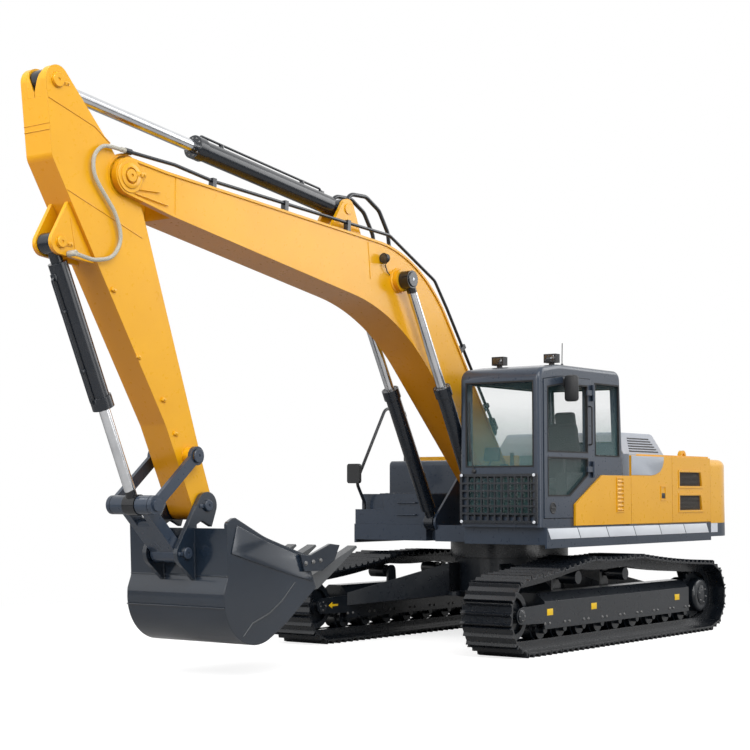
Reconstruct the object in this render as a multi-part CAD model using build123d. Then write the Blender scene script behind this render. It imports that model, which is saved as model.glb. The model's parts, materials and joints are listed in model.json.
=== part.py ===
from build123d import *
import math
import os

# Crawler mining excavator, in millimetres. X points forward, Y to the cab's side and Z up, with the
# ground at Z 0. Every piece is drawn about the slew axis and then moved by SLEW_X, which puts the
# origin on the ground under the middle of the machine's length.

# Frame and running clearances
SLEW_X = -2060
PIN_GAP = 0.5
SIDE_GAP = 6

# Undercarriage
TRACK_GAUGE = 2590
SHOE_WIDTH = 600
SHOE_COUNT = 48
SHOE_PLATE = 16
GROUSER_HEIGHT = 34
GROUSER_FOOT = 26
SHOE_JOINT_GAP = 5
SHOE_SINK = 4
RAIL_SINK = 2
LINK_DEPTH = 98
RAIL_INNER = 55
RAIL_OUTER = 105
SPROCKET_PATH_RADIUS = 378
SPROCKET_TEETH = 19
SPROCKET_TOOTH = 46
SPROCKET_HALF_WIDTH = 42
SPROCKET_FOOT_SHARE = 0.34
SPROCKET_TIP_SHARE = 0.12
DRIVE_COVER_RADIUS = 205
DRIVE_COVER_Y = 168
DRIVE_COVER_ROUND = 45
DRIVE_MOTOR_RADIUS = 180
IDLER_PATH_RADIUS = 366
IDLER_FLANGE = 44
IDLER_RIM = 60
IDLER_DISH = 40
IDLER_HUB_RADIUS = 95
IDLER_SHAFT_RADIUS = 45
CARRIER_X = (830, -250)
CARRIER_PATH_Z = 943
CARRIER_RADIUS = 72
CARRIER_GAP = 18
CARRIER_STUB_RADIUS = 30
TOP_RUN_SAG = 22
PATH_STEPS = 40
ROLLER_COUNT = 9
ROLLER_RADIUS = 95
ROLLER_FLANGE = 22
ROLLER_SHAFT_RADIUS = 38
FRAME_HALF_LENGTH = 1690
ROLLER_END_INSET = 50
ROLLER_SPACING = 2 * (FRAME_HALF_LENGTH - ROLLER_END_INSET) / (ROLLER_COUNT - 1)
SPROCKET_OVERHANG = 410
IDLER_OVERHANG = 460
SPROCKET_X = -(FRAME_HALF_LENGTH + SPROCKET_OVERHANG)
IDLER_X = FRAME_HALF_LENGTH + IDLER_OVERHANG
FRAME_HALF_WIDTH = 190
FRAME_WALL = 25
FRAME_SKIRT_Z = 255
FRAME_CHANNEL_Z = 365
FRAME_SHOULDER_Z = 540
FRAME_RIDGE_Z = 625
FRAME_RIDGE_SHARE = 0.45
FRAME_LAP = 100
YOKE_HALF_HEIGHT = 85
YOKE_ROOT_HALF = 102
PLATE_Z = GROUSER_HEIGHT + SHOE_PLATE
CARBODY_RADIUS = 640
CARBODY_BOTTOM_Z = 470
CARBODY_TOP_Z = 930
LEG_INNER = (340, 130, 760, 500, 870)
LEG_OUTER = (760, 1700, 400, FRAME_SHOULDER_Z)

# Slew ring and revolving deck
SLEW_RING_RADIUS = 690
SLEW_RING_INNER = 520
DECK_BOTTOM_Z = 1125
DECK_TOP_Z = 1310
DECK_HALF_WIDTH = 1465
DECK_REAR_X = -2330
DECK_LEFT_FRONT_X = 1640
DECK_CENTRE_FRONT_X = 1160
DECK_RIGHT_FRONT_X = 1060
DECK_NOTCH_X = 940
SKIRT_THICKNESS = 25
SKIRT_DROP = 35
TAIL_RADIUS = 3330
TAIL_CORNER_RADIUS = 560
TAIL_EDGE_RADIUS = 90
COUNTERWEIGHT_FRONT_X = -2330
COUNTERWEIGHT_TOP_Z = 2090
COUNTERWEIGHT_BOTTOM_Z = 1135

# Boom, drawn in side view at its resting angle
BOOM_FOOT = (480, 1800)
BOOM_TIP = (6525, 4420)
BOOM_WIDTH = 450
BOOM_FLANGE = 24
BOOM_WEB_INSET = 14
BOOM_FOOT_RADIUS = 175
BOOM_TIP_RADIUS = 165
BOOM_BACK_CORNER = (2100, 4245)
BOOM_BACK_BEND = 1750
BOOM_BELLY_CORNER = (2573, 3573)
BOOM_BELLY_BEND = 2450
BOOM_TIP_BEND = 60
BOOM_HEEL_ANGLE = 230
BOOM_BACK_TIP = (6050, 4532)
BOOM_BELLY_TIP = (5980, 4137)
BOOM_FORK_X = 5950
BOOM_PIN_RADIUS = 60
BOOM_BOSS_STEP = 8
BOOM_EYE_BOSS = 120
BASE_EAR_THICKNESS = 40
BASE_EAR_DROP = 290
BASE_EAR_RUN = (-220, 300)
BASE_EAR_TOE = 20
BRACKET_THICKNESS = 28
BRACKET_FOOT_RADIUS = 205
BRACKET_BASE_RADIUS = 110
BRACKET_TOE_RADIUS = 30
BRACKET_HEEL_X = 0
BRACKET_CAP = 12

# Pipes and hoses on the boom and arm
PIPE_Y = 195
PIPE_RADIUS = 17
PIPE_BEND = 150
PIPE_NUT_RADIUS = 27
PIPE_NUT_LENGTH = 70
CLIP_LENGTH = 50
CLIP_WIDTH = 56
CLIP_TOP = 8
LOOP_RADIUS = 22
LOOP_BEND = 140
LOOP_Y = 100

# Boom pipe's route: limb of the boom, distance from the back's corner along it and lift above it
PIPE_ROUTE = (
    ("foot", 2300, 95), ("foot", 744, 91), ("foot", 368, 73), ("tip", 569, 104), ("tip", 1240, 90),
    ("tip", 3343, 58), ("tip", 3857, 91), ("tip", 4477, 71),
)
PIPE_CLIPS = (("foot", 2050), ("foot", 1250), ("tip", 1300), ("tip", 2300), ("tip", 3343))

# Cylinder hoses' route from the arm cylinder's base pin, in side view, down into the boom's back
LOOP_ROUTE = ((0, 95), (-60, 165), (-330, 175), (-560, 60), (-720, -160), (-760, -420))

# Arm hose's route in side view, from the pipe's end, with the bend at each corner
ARM_HOSE_Y = PIPE_Y
ARM_HOSE_RADIUS = 20
ARM_HOSE_ROUTE = (
    (1, 0, 0), (255, 10, 85), (395, -90, 110), (365, -280, 150), (115, -550, 150), (5, -780, 130),
    (135, -965, 120), (365, -1000, 120), (575, -965, 0),
)
ARM_HOSE_NUT = 26

# Arm, drawn along (s) and in front of (n) the line from the boom pin to the bucket pin
ARM_LENGTH = 3044
ARM_LEAN = 70.12
ARM_WIDTH = 312
ARM_BOSS_RADIUS = 205
ARM_HEAD_PIN = (-925, 506)
ARM_HEAD_RADIUS = 128
ARM_PEAK = (-330, 772)
ARM_TAPER_RUN = 844
ARM_FRONT_TAPER = (ARM_LENGTH - ARM_TAPER_RUN, 222)
ARM_BACK_DEPTH = 120
ARM_TIP_RADIUS = 130
ARM_EYE_SLOT = 170
ARM_SLOT = ((-400, -500), (-400, 560), (-780, 640), (-1300, 900), (-1300, -500))
ARM_NECK = (-310, 90)
ARM_BACK_STOP = 344
ARM_BACK_RUN = (280, ARM_LENGTH - ARM_BACK_STOP)
ARM_PEAK_BEND = 140
ARM_TAPER_BEND = 300
ARM_EAR_TOES = ((60, 640), (640, 520))
ROCKER_BOSS_RADIUS = 80
BUCKET_CYL_BASE = (378, 874)
BASE_EAR_RADIUS = 105
ROCKER_SETBACK = 488
ROCKER_PIVOT = (ARM_LENGTH - ROCKER_SETBACK, 36)
ARM_PIN_RADIUS = 55

# Bucket, drawn in side view from its pin on the arm
BUCKET_WIDTH = 1200
BUCKET_SIDE = 32
BUCKET_WRAP = 30
BUCKET_LINK_PIN = (270, -422)
BUCKET_EAR_INNER = 168
BUCKET_EAR_THICKNESS = 45
BUCKET_EAR_RADIUS = 125
BUCKET_EAR_TOES = ((60, -420), (150, -640))
LIP_CORNER = 6
LIP_LENGTH = 190
LIP_THICKNESS = 45
TOOTH_COUNT = 5
TOOTH_WIDTH = 105

# Bucket side view from its pin: x, z and corner radius, round from the top of the cheek
BUCKET_PROFILE = (
    (70, -100, 60), (172, -150, 40), (148, -640, 120), (195, -760, 120), (195, -1528, 430),
    (-640, -1095, 1500), (-1092, -775, 0), (-953, -466, 0), (-345, -285, 1200),
)

# Outline cut away between the cheeks: above the back plate's top and out over the lip
BUCKET_MOUTH = ((220, -190), (165, -200), (40, -255), (40, -300), (-340, -450), (-900, -700), (-1024, -783),
                (-1074, -750), (-1115, -808), (-1278, -692), (-1500, 300), (220, 300))

# Bolted cutter on each cheek, from the bucket's pin
SIDE_CUTTER = ((-822, -454), (-970, -466), (-1273, -368), (-1416, -384), (-1338, -525), (-1147, -620),
               (-884, -615))

# Tooth outline out from the lip's edge and above its floor plate
TOOTH_PROFILE = ((0, -30), (0, LIP_THICKNESS), (-140, LIP_THICKNESS), (-110, 80), (30, 105), (770, -85),
                 (770, -108), (60, -60))

# Linkage and cylinders
BUCKET_LINK_JOINT = (715, 10)
ROCKER_INNER_Y = 232
ROCKER_THICKNESS = 40
ROCKER_CAP = 18
LINK_EYE_RADIUS = 85
LINK_WAIST = 52
LINK_FORK_DEPTH = 230
ROD_EYE_HALF = 72
BOOM_CYL_Y = 345
BOOM_CYL_BASE = (1090, 1340)
BOOM_CYL_EYE = (2530, 3920)
ARM_CYL_BASE = (3280, 4595)

# Cab
CAB_RIGHT_Y = 455
CAB_INSET = 3
CAB_LEFT_Y = DECK_HALF_WIDTH - CAB_INSET
CAB_FRONT_X = 1725
CAB_REAR_X = -150
CAB_BOTTOM_Z = DECK_TOP_Z
CAB_ROOF_Z = 3050
CAB_ROOF_CREST = 420
CAB_ROOF_FALL = 60
CAB_REAR_LEAN = 90
CAB_WALL = 60
CAB_ROOF_ROUND = 130
CAB_CREST_ROUND = 700
CAB_REAR_ROUND = 110
CAB_EDGE_ROUND = 45
GLASS_THICKNESS = 12
GLASS_DEPTH = 18
GLASS_GAP = 0.3
DOOR_FRONT_X = 1655
DOOR_REAR_X = 640
DOOR_TOP_Z = 2925
DOOR_TOP_FALL = 45
DOOR_CREST = 380
DOOR_BOTTOM_Z = 1400
DOOR_STEP_X = 1040
DOOR_STEP_Z = 1560
DOOR_WAIST_Z = 1785
DOOR_GAP = 6
DOOR_PROUD = 8
DOOR_FRAME = 75
DOOR_RAIL_Z = 2080
DOOR_RAIL_HALF = 25
HINGE_SETBACK = 15
HINGE_OUT = 30
HINGE_AXIS = (DOOR_REAR_X - HINGE_SETBACK, CAB_LEFT_Y + HINGE_OUT)
HINGE_RADIUS = 17
HINGE_PIN_RADIUS = 8
HINGE_HEIGHT = 60
HINGE_Z = (1900, 2740)
HINGE_STRAP = 130

# Fixed cab windows: the wall that they are in, and their span along it and in height
WINDSHIELD_INSET = 75
LOWER_WINDOW_INSET = 90
REAR_WINDOW_INSET = 110
CAB_WINDOWS = (
    ("front", CAB_RIGHT_Y + WINDSHIELD_INSET, CAB_LEFT_Y - WINDSHIELD_INSET, 1945, 2860),
    ("front", CAB_RIGHT_Y + LOWER_WINDOW_INSET, CAB_LEFT_Y - LOWER_WINDOW_INSET, 1420, 1850),
    ("right", 190, 1560, 1960, 2860),
    ("left", -20, 545, 2075, 2890),
    ("rear", CAB_RIGHT_Y + REAR_WINDOW_INSET, CAB_LEFT_Y - REAR_WINDOW_INSET, 2240, 2860),
)

# Grid in front of the cab's lower window
GUARD_INSET = 20
GUARD_Y = (CAB_RIGHT_Y + GUARD_INSET, CAB_LEFT_Y - GUARD_INSET)
GUARD_Z = (1350, 1875)
GUARD_STANDOFF = 12
GUARD_THICKNESS = 22
GUARD_RIM = 30
GUARD_BAR = 20
GUARD_COLUMNS = 11
GUARD_ROWS = 6
GUARD_BOLT_RADIUS = 13

# Inside and on top of the cab
SEAT_X = 380
SEAT_Y = (CAB_RIGHT_Y + CAB_LEFT_Y) / 2
SEAT_LENGTH = 480
SEAT_PAD = 110
SEAT_PEDESTAL = 330
SEAT_BACK = 640
SEAT_ROUND = 35
CONSOLE_HALF = 70
CONSOLE_WALL_GAP = 38.5
CONSOLE_OUT = (CAB_LEFT_Y - CAB_RIGHT_Y) / 2 - CAB_WALL - CONSOLE_WALL_GAP - CONSOLE_HALF
SEAT_CONSOLE_GAP = 30
SEAT_HALF = CONSOLE_OUT - CONSOLE_HALF - SEAT_CONSOLE_GAP
CONSOLE_LENGTH = 620
CONSOLE_HEIGHT = 520
LEVER_HEIGHT = 230
LEVER_RADIUS = 22
LEVER_SINK = 10
LAMP_X = 1180
LAMP_INSET = 170
LAMP_HALF = 75
LAMP_DEPTH = 90
LAMP_HEIGHT = 95
LAMP_FOOT = 30

# Rear body and side doors
PANEL_INNER_Y = DECK_HALF_WIDTH + GLASS_GAP
PANEL_OUTER_Y = DECK_HALF_WIDTH + SKIRT_THICKNESS
HOUSE_FRONT_X = -240
HOUSE_TOP_Z = 2120
HOUSE_WALL = 40
DOOR_SPLIT_X = -1280
PANEL_BOTTOM_Z = 1320
PANEL_TOP_Z = 2100
PANEL_SEAM = 4
PANEL_EDGE = 10
SIDE_PANEL_PEAK = (425, 1868)
HOOD_X = (-2190, -1060)
HOOD_Y = (-900, 960)
HOOD_TOP_Z = 2410
HOOD_WALL = 12
HOOD_SLOPE = 150
HOOD_ROUND = 60
GRILLE_X = (-2080, -1470)
GRILLE_ROWS = ((1465, 1640), (1755, 1920))
GRILLE_SLANT = 40
ENGINE_X = (-2130, -1350)
ENGINE_Y = (-560, 520)
ENGINE_TOP_Z = 1980
ENGINE_BEVEL = 90
TANK_X = (HOUSE_FRONT_X + PANEL_SEAM, 350)
TANK_Y = (-PANEL_OUTER_Y, -470)
TANK_TOP_Z = 2060
TANK_ROUND = 60
TOOL_BOX_TOP_Z = 1660
TOOL_BOX_FRONT_X = 1040
STEP_DEPTH = 130
STEP_WIDTH = 420
STEP_RISE = 170
RAIL_INSET = 65
RAIL_Y = RAIL_INSET - DECK_HALF_WIDTH
RAIL_RADIUS = 19
RAIL_PATH = ((980, DECK_TOP_Z + STEP_RISE), (980, 1560), (1140, 1800), (560, 2690), (150, 2690),
             (150, TANK_TOP_Z))
RAIL_BENDS = (80, 110, 120, 90)
RAIL_MIRROR_RUN = 2
RIGHT_MIRROR = (1160, 1900)
LEFT_MIRROR = (1200, 2800)
MIRROR_DEPTH = 45
MIRROR_HALF_WIDTH = 90
MIRROR_HALF_HEIGHT = 115
MIRROR_LEFT_WIDTH = 85
MIRROR_ROUND = 30
MIRROR_OUT = 20
MIRROR_ARM_RADIUS = 12
MIRROR_ARM_LAP = 10
LIFT_EYE_X = -2700
LIFT_EYE_Y = 900
LIFT_EYE_RISE = 50
LIFT_EYE_RADIUS = 75
LIFT_EYE_BORE = 35
LIFT_EYE_THICKNESS = 50
TOW_LUG_Y = 230
TOW_LUG_REACH = 150
TOW_LUG_Z = 500
TOW_LUG_RADIUS = 80
TOW_LUG_BORE = 38
TOW_LUG_THICKNESS = 45


def at_side(points, y_low, y_high):
    """Draw a closed side-view outline out from y_low to y_high."""
    face = make_face(Polyline(*points, close=True))
    return extrude(Plane.XZ.offset(-y_high) * face, y_high - y_low)


def face_at_side(face, y_low, y_high):
    """Draw a flat face, made in the X-Y plane, out in side view from y_low to y_high."""
    return extrude(Plane.XZ.offset(-y_high) * face, y_high - y_low)


def block(x_low, x_high, y_low, y_high, z_low, z_high):
    """A plain block between six planes."""
    corner = Pos(x_low, y_low, z_low)
    return corner * Box(x_high - x_low, y_high - y_low, z_high - z_low, align=(Align.MIN,) * 3)


def pin(place, radius, y_low, y_high):
    """A round bar across the machine at an (x, z) place."""
    x, z = place
    return Pos(x, (y_low + y_high) / 2, z) * Rot(X=90) * Cylinder(radius, y_high - y_low)


def bar(start, end, radius):
    """A round bar from one point to another."""
    axis = Vector(*end) - Vector(*start)
    seat = Plane(origin=start, z_dir=axis)
    return seat * Cylinder(radius, axis.length, align=(Align.CENTER, Align.CENTER, Align.MIN))


def both_sides(solid):
    """A piece and its mirror image across the machine's centre plane."""
    return [solid, mirror(solid, about=Plane.XZ)]


def plate_face(*rounds):
    """A flat plate's face: the hull round circles given as ((x, z), radius)."""
    return make_hull([e for place, radius in rounds for e in (Pos(*place) * Circle(radius)).edges()])


def arm_point(s, n):
    """The side-view place of a point given along and in front of the arm."""
    lean = math.radians(ARM_LEAN)
    along = (-math.cos(lean), -math.sin(lean))
    front = (math.sin(lean), -math.cos(lean))
    return (BOOM_TIP[0] + s * along[0] + n * front[0], BOOM_TIP[1] + s * along[1] + n * front[1])


def bucket_point(x, z):
    """The side-view place of a point given from the bucket's pin."""
    centre = arm_point(ARM_LENGTH, 0)
    return (centre[0] + x, centre[1] + z)


BUCKET_PIN = arm_point(ARM_LENGTH, 0)
ARM_EYE = arm_point(*ARM_HEAD_PIN)
BUCKET_CYL_EAR = arm_point(*BUCKET_CYL_BASE)
ROCKER_PIN = arm_point(*ROCKER_PIVOT)
LINK_PIN = bucket_point(*BUCKET_LINK_PIN)
LINK_JOINT = bucket_point(*BUCKET_LINK_JOINT)

# Cylinders: base and eye at rest, barrel length, where the rod starts, barrel and rod radius,
# half width of the eyes and radius of the eyes
CYLINDERS = {
    "boom": (BOOM_CYL_BASE, BOOM_CYL_EYE, 1690, 1080, 82, 52, 58, 95),
    "arm": (ARM_CYL_BASE, ARM_EYE, 2230, 2080, 98, 58, ROD_EYE_HALF, 110),
    "bucket": (BUCKET_CYL_EAR, LINK_JOINT, 1500, 840, 84, 50, ROD_EYE_HALF, 92),
}
CYLINDER_NECK = 80
CYLINDER_NECK_RADIUS = 55
CYLINDER_COLLAR = 14
CYLINDER_COLLAR_LENGTH = 110
CYLINDER_HEAD = 60


def polar(centre, radius, degrees):
    """The point at an angle on a circle."""
    turn = math.radians(degrees)
    return (centre[0] + radius * math.cos(turn), centre[1] + radius * math.sin(turn))


# Track


def track_path():
    """Points along the inner face of the shoes, once round the loop."""
    sprocket = (SPROCKET_X, PLATE_Z + SPROCKET_PATH_RADIUS)
    idler = (IDLER_X, PLATE_Z + IDLER_PATH_RADIUS)
    supports = [(x, CARRIER_PATH_Z) for x in sorted(CARRIER_X)]
    rear_rise = math.degrees(math.atan2(
        CARRIER_PATH_Z - sprocket[1] - SPROCKET_PATH_RADIUS, supports[0][0] - sprocket[0]))
    front_fall = math.degrees(math.atan2(
        CARRIER_PATH_Z - idler[1] - IDLER_PATH_RADIUS, idler[0] - supports[-1][0]))
    steps = PATH_STEPS
    rear_arc = [polar(sprocket, SPROCKET_PATH_RADIUS, 270 - (180 - rear_rise) * i / steps)
                for i in range(steps + 1)]
    front_arc = [polar(idler, IDLER_PATH_RADIUS, 90 - front_fall - (180 - front_fall) * i / steps)
                 for i in range(steps + 1)]
    tops = [rear_arc[-1]] + supports + [front_arc[0]]
    top_run = []
    for (x0, z0), (x1, z1) in zip(tops, tops[1:]):
        for i in range(1, steps):
            t = i / steps
            sag = 4 * TOP_RUN_SAG * t * (1 - t)
            top_run.append((x0 + (x1 - x0) * t, z0 + (z1 - z0) * t - sag))
        top_run.append((x1, z1))
    return rear_arc + top_run[:-1] + front_arc


def shoe_joints():
    """Equally spaced places of the link pins round the loop."""
    path = track_path()
    path.append(path[0])
    lengths = [math.dist(a, b) for a, b in zip(path, path[1:])]
    pitch = sum(lengths) / SHOE_COUNT
    joints = []
    walked = 0
    for (a, b), length in zip(zip(path, path[1:]), lengths):
        while len(joints) < SHOE_COUNT and len(joints) * pitch <= walked + length:
            t = (len(joints) * pitch - walked) / length
            joints.append((a[0] + (b[0] - a[0]) * t, a[1] + (b[1] - a[1]) * t))
        walked += length
    return joints


def shoe_outline(start, end):
    """One triple-grouser shoe's outer outline, from one link pin to the next."""
    length = math.dist(start, end)
    along = ((end[0] - start[0]) / length, (end[1] - start[1]) / length)
    out = (-along[1], along[0])
    low, high = SHOE_JOINT_GAP, length - SHOE_JOINT_GAP
    middle = length / 2
    tip = SHOE_PLATE + GROUSER_HEIGHT
    stations = [
        (low, 0), (low, tip), (low + GROUSER_FOOT, SHOE_PLATE),
        (middle - GROUSER_FOOT, SHOE_PLATE), (middle, tip), (middle + GROUSER_FOOT, SHOE_PLATE),
        (high - GROUSER_FOOT, SHOE_PLATE), (high, tip), (high, 0),
    ]
    return [(start[0] + along[0] * d + out[0] * h, start[1] + along[1] * d + out[1] * h)
            for d, h in stations]


def inset(points, depth):
    """A loop of points moved inwards by a depth, each along its own bisector."""
    moved = []
    for i, here in enumerate(points):
        before, after = points[i - 1], points[(i + 1) % len(points)]
        chord = math.dist(before, after)
        inward = ((after[1] - before[1]) / chord, -(after[0] - before[0]) / chord)
        moved.append((here[0] + inward[0] * depth, here[1] + inward[1] * depth))
    return moved


def ring(outer, inner, y_low, y_high):
    """A loop between an outer and an inner outline."""
    face = make_face(Polyline(*outer, close=True)) - make_face(Polyline(*inner, close=True))
    return face_at_side(face, y_low, y_high)


def track(side):
    """Shoes and the two link rails under them, as one closed loop."""
    joints = shoe_joints()
    centre = side * TRACK_GAUGE / 2
    outline = [p for i, a in enumerate(joints) for p in shoe_outline(a, joints[(i + 1) % SHOE_COUNT])]
    shoes = ring(outline, inset(joints, SHOE_SINK), centre - SHOE_WIDTH / 2, centre + SHOE_WIDTH / 2)
    rails = [ring(inset(joints, RAIL_SINK), inset(joints, LINK_DEPTH), centre + low, centre + high)
             for low, high in ((-RAIL_OUTER, -RAIL_INNER), (RAIL_INNER, RAIL_OUTER))]
    return shoes + rails[0] + rails[1]


def wheel_radius(path_radius):
    """The largest wheel that the rails clear where the links cross it as chords."""
    pitch = sum(math.dist(a, b) for a, b in zip(shoe_joints(), shoe_joints()[1:])) / (SHOE_COUNT - 1)
    sagitta = path_radius - math.sqrt(path_radius ** 2 - (pitch / 2) ** 2)
    return path_radius - sagitta - LINK_DEPTH - 2 * PIN_GAP


def sprocket(side):
    """Toothed drive wheel with its final-drive cover, on the outer face, and its motor."""
    radius = wheel_radius(SPROCKET_PATH_RADIUS)
    centre_z = PLATE_Z + SPROCKET_PATH_RADIUS
    place = (SPROCKET_X, centre_z)
    pitch = 360 / SPROCKET_TEETH
    corners = ((-SPROCKET_FOOT_SHARE, 0), (-SPROCKET_TIP_SHARE, SPROCKET_TOOTH),
               (SPROCKET_TIP_SHARE, SPROCKET_TOOTH), (SPROCKET_FOOT_SHARE, 0))
    profile = []
    for i in range(SPROCKET_TEETH):
        for share, height in corners:
            profile.append(polar(place, radius + height, (i + share) * pitch))
    wheel = at_side(profile, -SPROCKET_HALF_WIDTH, SPROCKET_HALF_WIDTH)
    cover = pin(place, DRIVE_COVER_RADIUS, SPROCKET_HALF_WIDTH, DRIVE_COVER_Y)
    cover = fillet(cover.edges().filter_by(GeomType.CIRCLE).sort_by(Axis.Y)[-1], DRIVE_COVER_ROUND)
    motor = pin(place, DRIVE_MOTOR_RADIUS, FRAME_WALL - FRAME_HALF_WIDTH, -SPROCKET_HALF_WIDTH)
    solid = Pos(0, TRACK_GAUGE / 2, 0) * (wheel + cover + motor)
    return solid if side > 0 else mirror(solid, about=Plane.XZ)


def idler(side):
    """Front guide wheel with the flange that runs between the rails, and its shaft."""
    place = (IDLER_X, PLATE_Z + IDLER_PATH_RADIUS)
    radius = wheel_radius(IDLER_PATH_RADIUS)
    rim = pin(place, radius, -RAIL_OUTER, RAIL_OUTER)
    flange = pin(place, radius + IDLER_FLANGE, -SPROCKET_HALF_WIDTH, SPROCKET_HALF_WIDTH)
    seat = FRAME_HALF_WIDTH - FRAME_WALL
    shaft = pin(place, IDLER_SHAFT_RADIUS, -seat, seat)
    dish = pin(place, radius - IDLER_RIM, RAIL_OUTER - IDLER_DISH, RAIL_OUTER)
    dish -= pin(place, IDLER_HUB_RADIUS, -RAIL_OUTER, RAIL_OUTER)
    wheel = rim + flange - dish - mirror(dish, about=Plane.XZ) + shaft
    return Pos(0, side * TRACK_GAUGE / 2, 0) * wheel


def track_rollers():
    """Bottom rollers of both tracks, each with the flange that runs between the rails."""
    seat = FRAME_HALF_WIDTH - FRAME_WALL
    z = PLATE_Z + LINK_DEPTH + PIN_GAP + ROLLER_RADIUS
    rollers = []
    for side in (1, -1):
        for i in range(ROLLER_COUNT):
            place = ((i - (ROLLER_COUNT - 1) / 2) * ROLLER_SPACING, z)
            roller = pin(place, ROLLER_RADIUS, -RAIL_OUTER, RAIL_OUTER)
            roller += pin(place, ROLLER_RADIUS + ROLLER_FLANGE, SIDE_GAP - RAIL_INNER, RAIL_INNER - SIDE_GAP)
            roller += pin(place, ROLLER_SHAFT_RADIUS, -seat, seat)
            rollers.append(Pos(0, side * TRACK_GAUGE / 2, 0) * roller)
    return rollers


def carrier_height():
    """Height of the upper rollers' axes."""
    return CARRIER_PATH_Z - LINK_DEPTH - CARRIER_GAP - CARRIER_RADIUS


def carrier_rollers():
    """Upper rollers that hold the returning track, each on a stub from the frame's bracket."""
    rollers = []
    for x in CARRIER_X:
        place = (x, carrier_height())
        roller = pin(place, CARRIER_RADIUS, -RAIL_OUTER, RAIL_OUTER)
        roller += pin(place, CARRIER_STUB_RADIUS, FRAME_WALL - FRAME_HALF_WIDTH, -RAIL_OUTER)
        rollers += both_sides(Pos(0, TRACK_GAUGE / 2, 0) * roller)
    return rollers


def track_frame(side):
    """Side beam with sloped shoulders, a roller channel, the idler's yoke and the motor plate."""
    half, wall = FRAME_HALF_WIDTH, FRAME_WALL
    ridge = half * FRAME_RIDGE_SHARE
    section = [
        (-half, FRAME_SKIRT_Z), (-half, FRAME_SHOULDER_Z), (-ridge, FRAME_RIDGE_Z),
        (ridge, FRAME_RIDGE_Z), (half, FRAME_SHOULDER_Z), (half, FRAME_SKIRT_Z),
        (half - wall, FRAME_SKIRT_Z), (half - wall, FRAME_CHANNEL_Z),
        (wall - half, FRAME_CHANNEL_Z), (wall - half, FRAME_SKIRT_Z),
    ]
    face = make_face(Polyline(*section, close=True))
    beam = extrude(Plane.YZ.offset(-FRAME_HALF_LENGTH) * face, 2 * FRAME_HALF_LENGTH)
    root = FRAME_HALF_LENGTH - FRAME_LAP
    idler_place = (IDLER_X, PLATE_Z + IDLER_PATH_RADIUS)
    yoke = plate_face((idler_place, YOKE_HALF_HEIGHT), ((root, idler_place[1]), YOKE_ROOT_HALF))
    for low in (-half, half - wall):
        beam += face_at_side(yoke, low, low + wall)
    drive_place = (SPROCKET_X, PLATE_Z + SPROCKET_PATH_RADIUS)
    plate = plate_face((drive_place, DRIVE_COVER_RADIUS), ((-root, drive_place[1]), YOKE_ROOT_HALF))
    beam += face_at_side(plate, -half, wall - half)
    for x in CARRIER_X:
        top, root = (x, carrier_height()), (x, FRAME_SHOULDER_Z - FRAME_LAP)
        bracket = plate_face((top, CARRIER_RADIUS), (root, FRAME_LAP))
        beam += face_at_side(bracket, -half, wall - half)
    solid = Pos(0, TRACK_GAUGE / 2, 0) * beam
    return solid if side > 0 else mirror(solid, about=Plane.XZ)


def car_body():
    """Centre drum with four splayed legs that reach the track frames, and two tow lugs."""
    up = (Align.CENTER, Align.CENTER, Align.MIN)
    body = Pos(0, 0, CARBODY_BOTTOM_Z) * Cylinder(CARBODY_RADIUS, CARBODY_TOP_Z - CARBODY_BOTTOM_Z, align=up)
    inner_y, x0, x1, z0, z1 = LEG_INNER
    outer_x0, outer_x1, outer_z0, outer_z1 = LEG_OUTER
    outer_y = TRACK_GAUGE / 2 - FRAME_HALF_WIDTH
    sections = [
        Plane.XZ.offset(-inner_y) * Pos((x0 + x1) / 2, (z0 + z1) / 2) * Rectangle(x1 - x0, z1 - z0),
        Plane.XZ.offset(-outer_y) * Pos((outer_x0 + outer_x1) / 2, (outer_z0 + outer_z1) / 2)
        * Rectangle(outer_x1 - outer_x0, outer_z1 - outer_z0),
    ]
    leg = loft(sections, ruled=True)
    for turned in both_sides(leg):
        body += turned
        body += mirror(turned, about=Plane.YZ)
    for y in (TOW_LUG_Y, -TOW_LUG_Y):
        tip, root = (CARBODY_RADIUS + TOW_LUG_REACH, y), (CARBODY_RADIUS - TOW_LUG_REACH, y)
        lug = plate_face((tip, TOW_LUG_RADIUS), (root, TOW_LUG_RADIUS)) - Pos(*tip) * Circle(TOW_LUG_BORE)
        body += extrude(Plane.XY.offset(TOW_LUG_Z) * lug, TOW_LUG_THICKNESS)
    return body


def slew_ring():
    """Bearing ring between the car body and the deck."""
    height = DECK_BOTTOM_Z - PIN_GAP - CARBODY_TOP_Z
    seat = Pos(0, 0, CARBODY_TOP_Z)
    low = (Align.CENTER, Align.CENTER, Align.MIN)
    outer = seat * Cylinder(SLEW_RING_RADIUS, height, align=low)
    return outer - seat * Cylinder(SLEW_RING_INNER, height, align=low)


# Revolving deck


def bracket_face():
    """Side view of one boom bracket: round at the boom's foot and at the cylinder's base."""
    return plate_face(
        (BOOM_FOOT, BRACKET_FOOT_RADIUS), (BOOM_CYL_BASE, BRACKET_BASE_RADIUS),
        ((BRACKET_HEEL_X, DECK_TOP_Z), BRACKET_TOE_RADIUS))


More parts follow.
